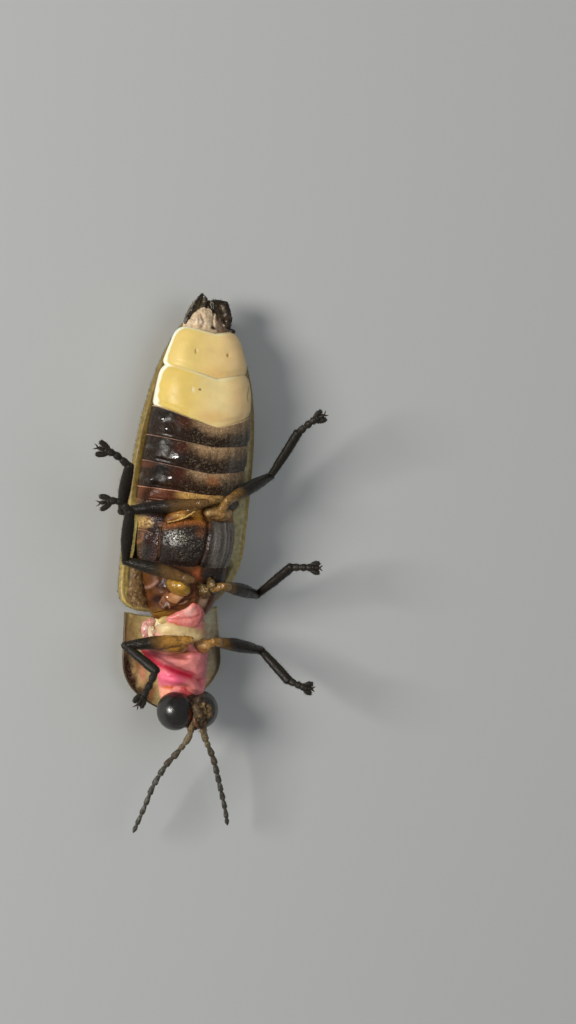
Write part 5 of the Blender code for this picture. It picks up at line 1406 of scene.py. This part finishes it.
for elytron_name, elytron_side, elytron_setback in WING_CASES:
    case = elytron(elytron_side, elytron_setback)
    piece("horny_" + elytron_name, [case], "wing_cases", [elytron_name], WING)
    back_mask = case.back * (case.points[:, 2] > 0.16) * 1.0
    grow("coat_wing_cases", case, 2500, 0.12, 41 + elytron_side, lift=0.25, width=0.006,
         mask=back_mask, colour=(96, 86, 68))
    grow("coat_wing_cases", case, 500, 0.09, 51 + elytron_side, lift=0.3, width=0.005,
         mask=~case.back * step(-case.front, -1.4, -0.6), colour=(190, 160, 110))

shield = pronotum()
piece("horny_pronotum", [shield], "shield", ["pronotum"], SHIELD)
grow("coat_wing_cases", shield, 700, 0.07, 61, lie=(0, -1, 0), width=0.005,
     mask=step(-shield.rim, -0.4, -0.1), colour=(160, 140, 100))
chest = prosternum()
piece("soft_prosternum", chest, "rosy_underside", ["prosternum"], SOFT)
middle_rings = mesothorax()
middle_ring = middle_rings[0]
piece("amber_mesothorax", middle_rings, "amber_thorax", ["mesothorax"], AMBER)
hind_ring = metathorax()
piece("dark_metathorax", [hind_ring], "dark_thorax", ["metathorax"], DARK)
belly = abdomen()
piece("dark_belly_plates", belly, "dark_belly", ["abdomen"], BELLY)
piece("lantern_plate_front", [lantern(6)], "lantern", ["lantern_front"], WAX)
piece("lantern_plate_rear", [lantern(7)], "lantern", ["lantern_rear"], WAX)
tail_shells = tail()
piece("tail_lobes", tail_shells, "tail_tip", ["abdomen_tip"], TAIL)
head_shells = head()
piece("head_and_mouth", head_shells, "head", ["head"], HEAD)
piece("faceted_eye_left", [eye(-1)], "eyes", ["eye_left"], EYE)
piece("faceted_eye_right", [eye(1)], "eyes", ["eye_right"], EYE)

for plate_number, plate in enumerate(belly):
    grow("coat_belly", plate, 900, 0.1, 71 + plate_number, lift=0.2, width=0.0045,
         mask=step(plate.points[:, 2], 1.1, 1.5)
         * step(-plate.share, -0.97, -0.94) * step(plate.share, 0.1, 0.2)
         * (0.15 + 0.85 * step(plate.points[:, 0], -1.0, -0.4)),
         colour=(120, 104, 80))
grow("coat_belly", hind_ring, 700, 0.09, 81, lift=0.22, width=0.0045,
     mask=step(hind_ring.points[:, 2], 1.3, 1.8) * step(-hind_ring.points[:, 1], -3.0, -2.8),
     colour=(120, 104, 80))
grow("coat_belly", middle_ring, 250, 0.08, 82, lift=0.3, width=0.0045,
     mask=step(middle_ring.points[:, 2], 1.3, 1.8), colour=(150, 112, 66))
for lobe_number, lobe in enumerate(tail_shells[1:3]):
    grow("coat_belly", lobe, 220, 0.11, 91 + lobe_number, lift=0.3, width=0.006,
         colour=(70, 60, 50), follow=True)
for head_number, part in enumerate(head_shells):
    if not part.bare:
        # Most of them grow on the head itself and on the bed of the mouthparts
        amount = 420 if head_number in (0, 3) else 70
        grow("coat_head", part, amount, 0.12, 101 + head_number, lie=(0, -1, 0.3), lift=0.7,
             width=0.006, colour=(58, 48, 36))

for antenna_name, antenna_path in ANTENNAE.items():
    joints = antenna(antenna_path)
    piece("jointed_" + antenna_name, joints, "feelers", [antenna_name], LIMB)
    for joint_number, joint in enumerate(joints):
        grow("coat_head", joint, 130, 0.05, 131 + joint_number, lift=0.6, width=0.005,
             colour=(62, 58, 50), follow=True)

for leg_number, (leg_name, leg_sizes) in enumerate(LEGS.items()):
    parts = leg(leg_name, *leg_sizes)
    piece("jointed_" + leg_name, parts, "legs", [leg_name], LIMB)
    for part_number, part in enumerate(parts):
        if part.bare:
            continue
        amount = 520 if len(part.points) > LONG_LIMB else 90
        follow = part.ahead is not None
        grow("coat_limbs", part, amount, 0.09 if follow else 0.07,
             200 + 20 * leg_number + part_number, lift=0.5 if follow else 0.9, width=0.006,
             colour=(52, 47, 40), follow=follow)

for coat_name, coat_slot in COAT_SLOTS.items():
    coat_piece(coat_name, coats[coat_name], coat_slot, HAIR)


# ---------------------------------------------------------------- floor, light and camera

ROLL = math.radians(6.3)
TILT = math.radians(21.0)
PIXELS_PER_MM = 31.0
CAMERA_DISTANCE = 0.11
IMAGE_WIDTH, IMAGE_HEIGHT = 576, 1024
SENSOR = 36                             # width of the camera's sensor in mm
FLOOR_HALF = 0.6
KEY_ANGLE = math.radians(36)            # of the main light from the way to the camera
COOL_WHITE = (0.93, 0.96, 1.0)
# A point of the body in metres, and the pixel of the photograph that it falls on
REFERENCE = Vector((-0.0001, -0.0016, 0.00057))
REFERENCE_PIXEL = (174.5, 611)
RIGHT = Vector((math.cos(TILT) * math.cos(ROLL), math.sin(ROLL), math.sin(TILT) * math.cos(ROLL)))
UP = Vector((-math.cos(TILT) * math.sin(ROLL), math.cos(ROLL), -math.sin(TILT) * math.sin(ROLL)))
BACK = Vector((-math.sin(TILT), 0, math.cos(TILT)))


def add_floor():
    """A plain pale floor."""
    corners = [(FLOOR_HALF * x, FLOOR_HALF * y, 0) for x, y in ((-1, -1), (1, -1), (1, 1), (-1, 1))]
    mesh = bpy.data.meshes.new("floor")
    mesh.from_pydata(corners, [], [(0, 1, 2, 3)])
    floor = bpy.data.objects.new("floor", mesh)
    bpy.context.scene.collection.objects.link(floor)
    made = bpy.data.materials.new("floor")
    made.use_nodes = True
    shader = made.node_tree.nodes["Principled BSDF"]
    shader.inputs["Base Color"].default_value = (0.49, 0.50, 0.49, 1)
    shader.inputs["Roughness"].default_value = 0.8
    shader.inputs["Specular IOR Level"].default_value = 0.1
    mesh.materials.append(made)


def add_light(name, way, distance, size, power, colour, mirrored=True):
    """A round soft light that shines at the firefly from a direction, mirrored in it or not."""
    lamp = bpy.data.lights.new(name, "AREA")
    lamp.shape = "DISK"
    lamp.size = size
    lamp.energy = power
    lamp.color = colour
    thing = bpy.data.objects.new(name, lamp)
    way = way.normalized()
    thing.location = way * distance
    thing.rotation_euler = way.to_track_quat("Z", "Y").to_euler()
    thing.visible_glossy = mirrored
    bpy.context.scene.collection.objects.link(thing)


def add_camera():
    """A camera with the photograph's view of the firefly."""
    lens = bpy.data.cameras.new("camera")
    height = IMAGE_HEIGHT / PIXELS_PER_MM * MM
    lens.sensor_width = SENSOR
    lens.lens = SENSOR * CAMERA_DISTANCE / height
    lens.clip_start = 0.001
    lens.clip_end = 10
    thing = bpy.data.objects.new("camera", lens)
    aim = REFERENCE + RIGHT * ((IMAGE_WIDTH / 2 - REFERENCE_PIXEL[0]) / PIXELS_PER_MM * MM) \
        + UP * ((REFERENCE_PIXEL[1] - IMAGE_HEIGHT / 2) / PIXELS_PER_MM * MM)
    turn = Matrix((RIGHT, UP, BACK)).transposed().to_4x4()
    thing.matrix_world = Matrix.Translation(aim + BACK * CAMERA_DISTANCE) @ turn
    bpy.context.scene.collection.objects.link(thing)
    bpy.context.scene.camera = thing


add_floor()
key_way = BACK * math.cos(KEY_ANGLE) - RIGHT * math.sin(KEY_ANGLE) + UP * 0.12
add_light("key", key_way, 0.16, 0.055, 0.255, (1.0, 0.97, 0.92))
add_light("fill", RIGHT * 0.7 + BACK * 0.7 + UP * 0.1, 0.2, 0.16, 0.09, COOL_WHITE, False)
world = bpy.data.worlds.new("studio")
world.use_nodes = True
sky = world.node_tree.nodes["Background"]
sky.inputs["Color"].default_value = (*COOL_WHITE, 1)
sky.inputs["Strength"].default_value = 0.17
bpy.context.scene.world = world
bpy.context.scene.view_settings.view_transform = "Standard"
add_camera()
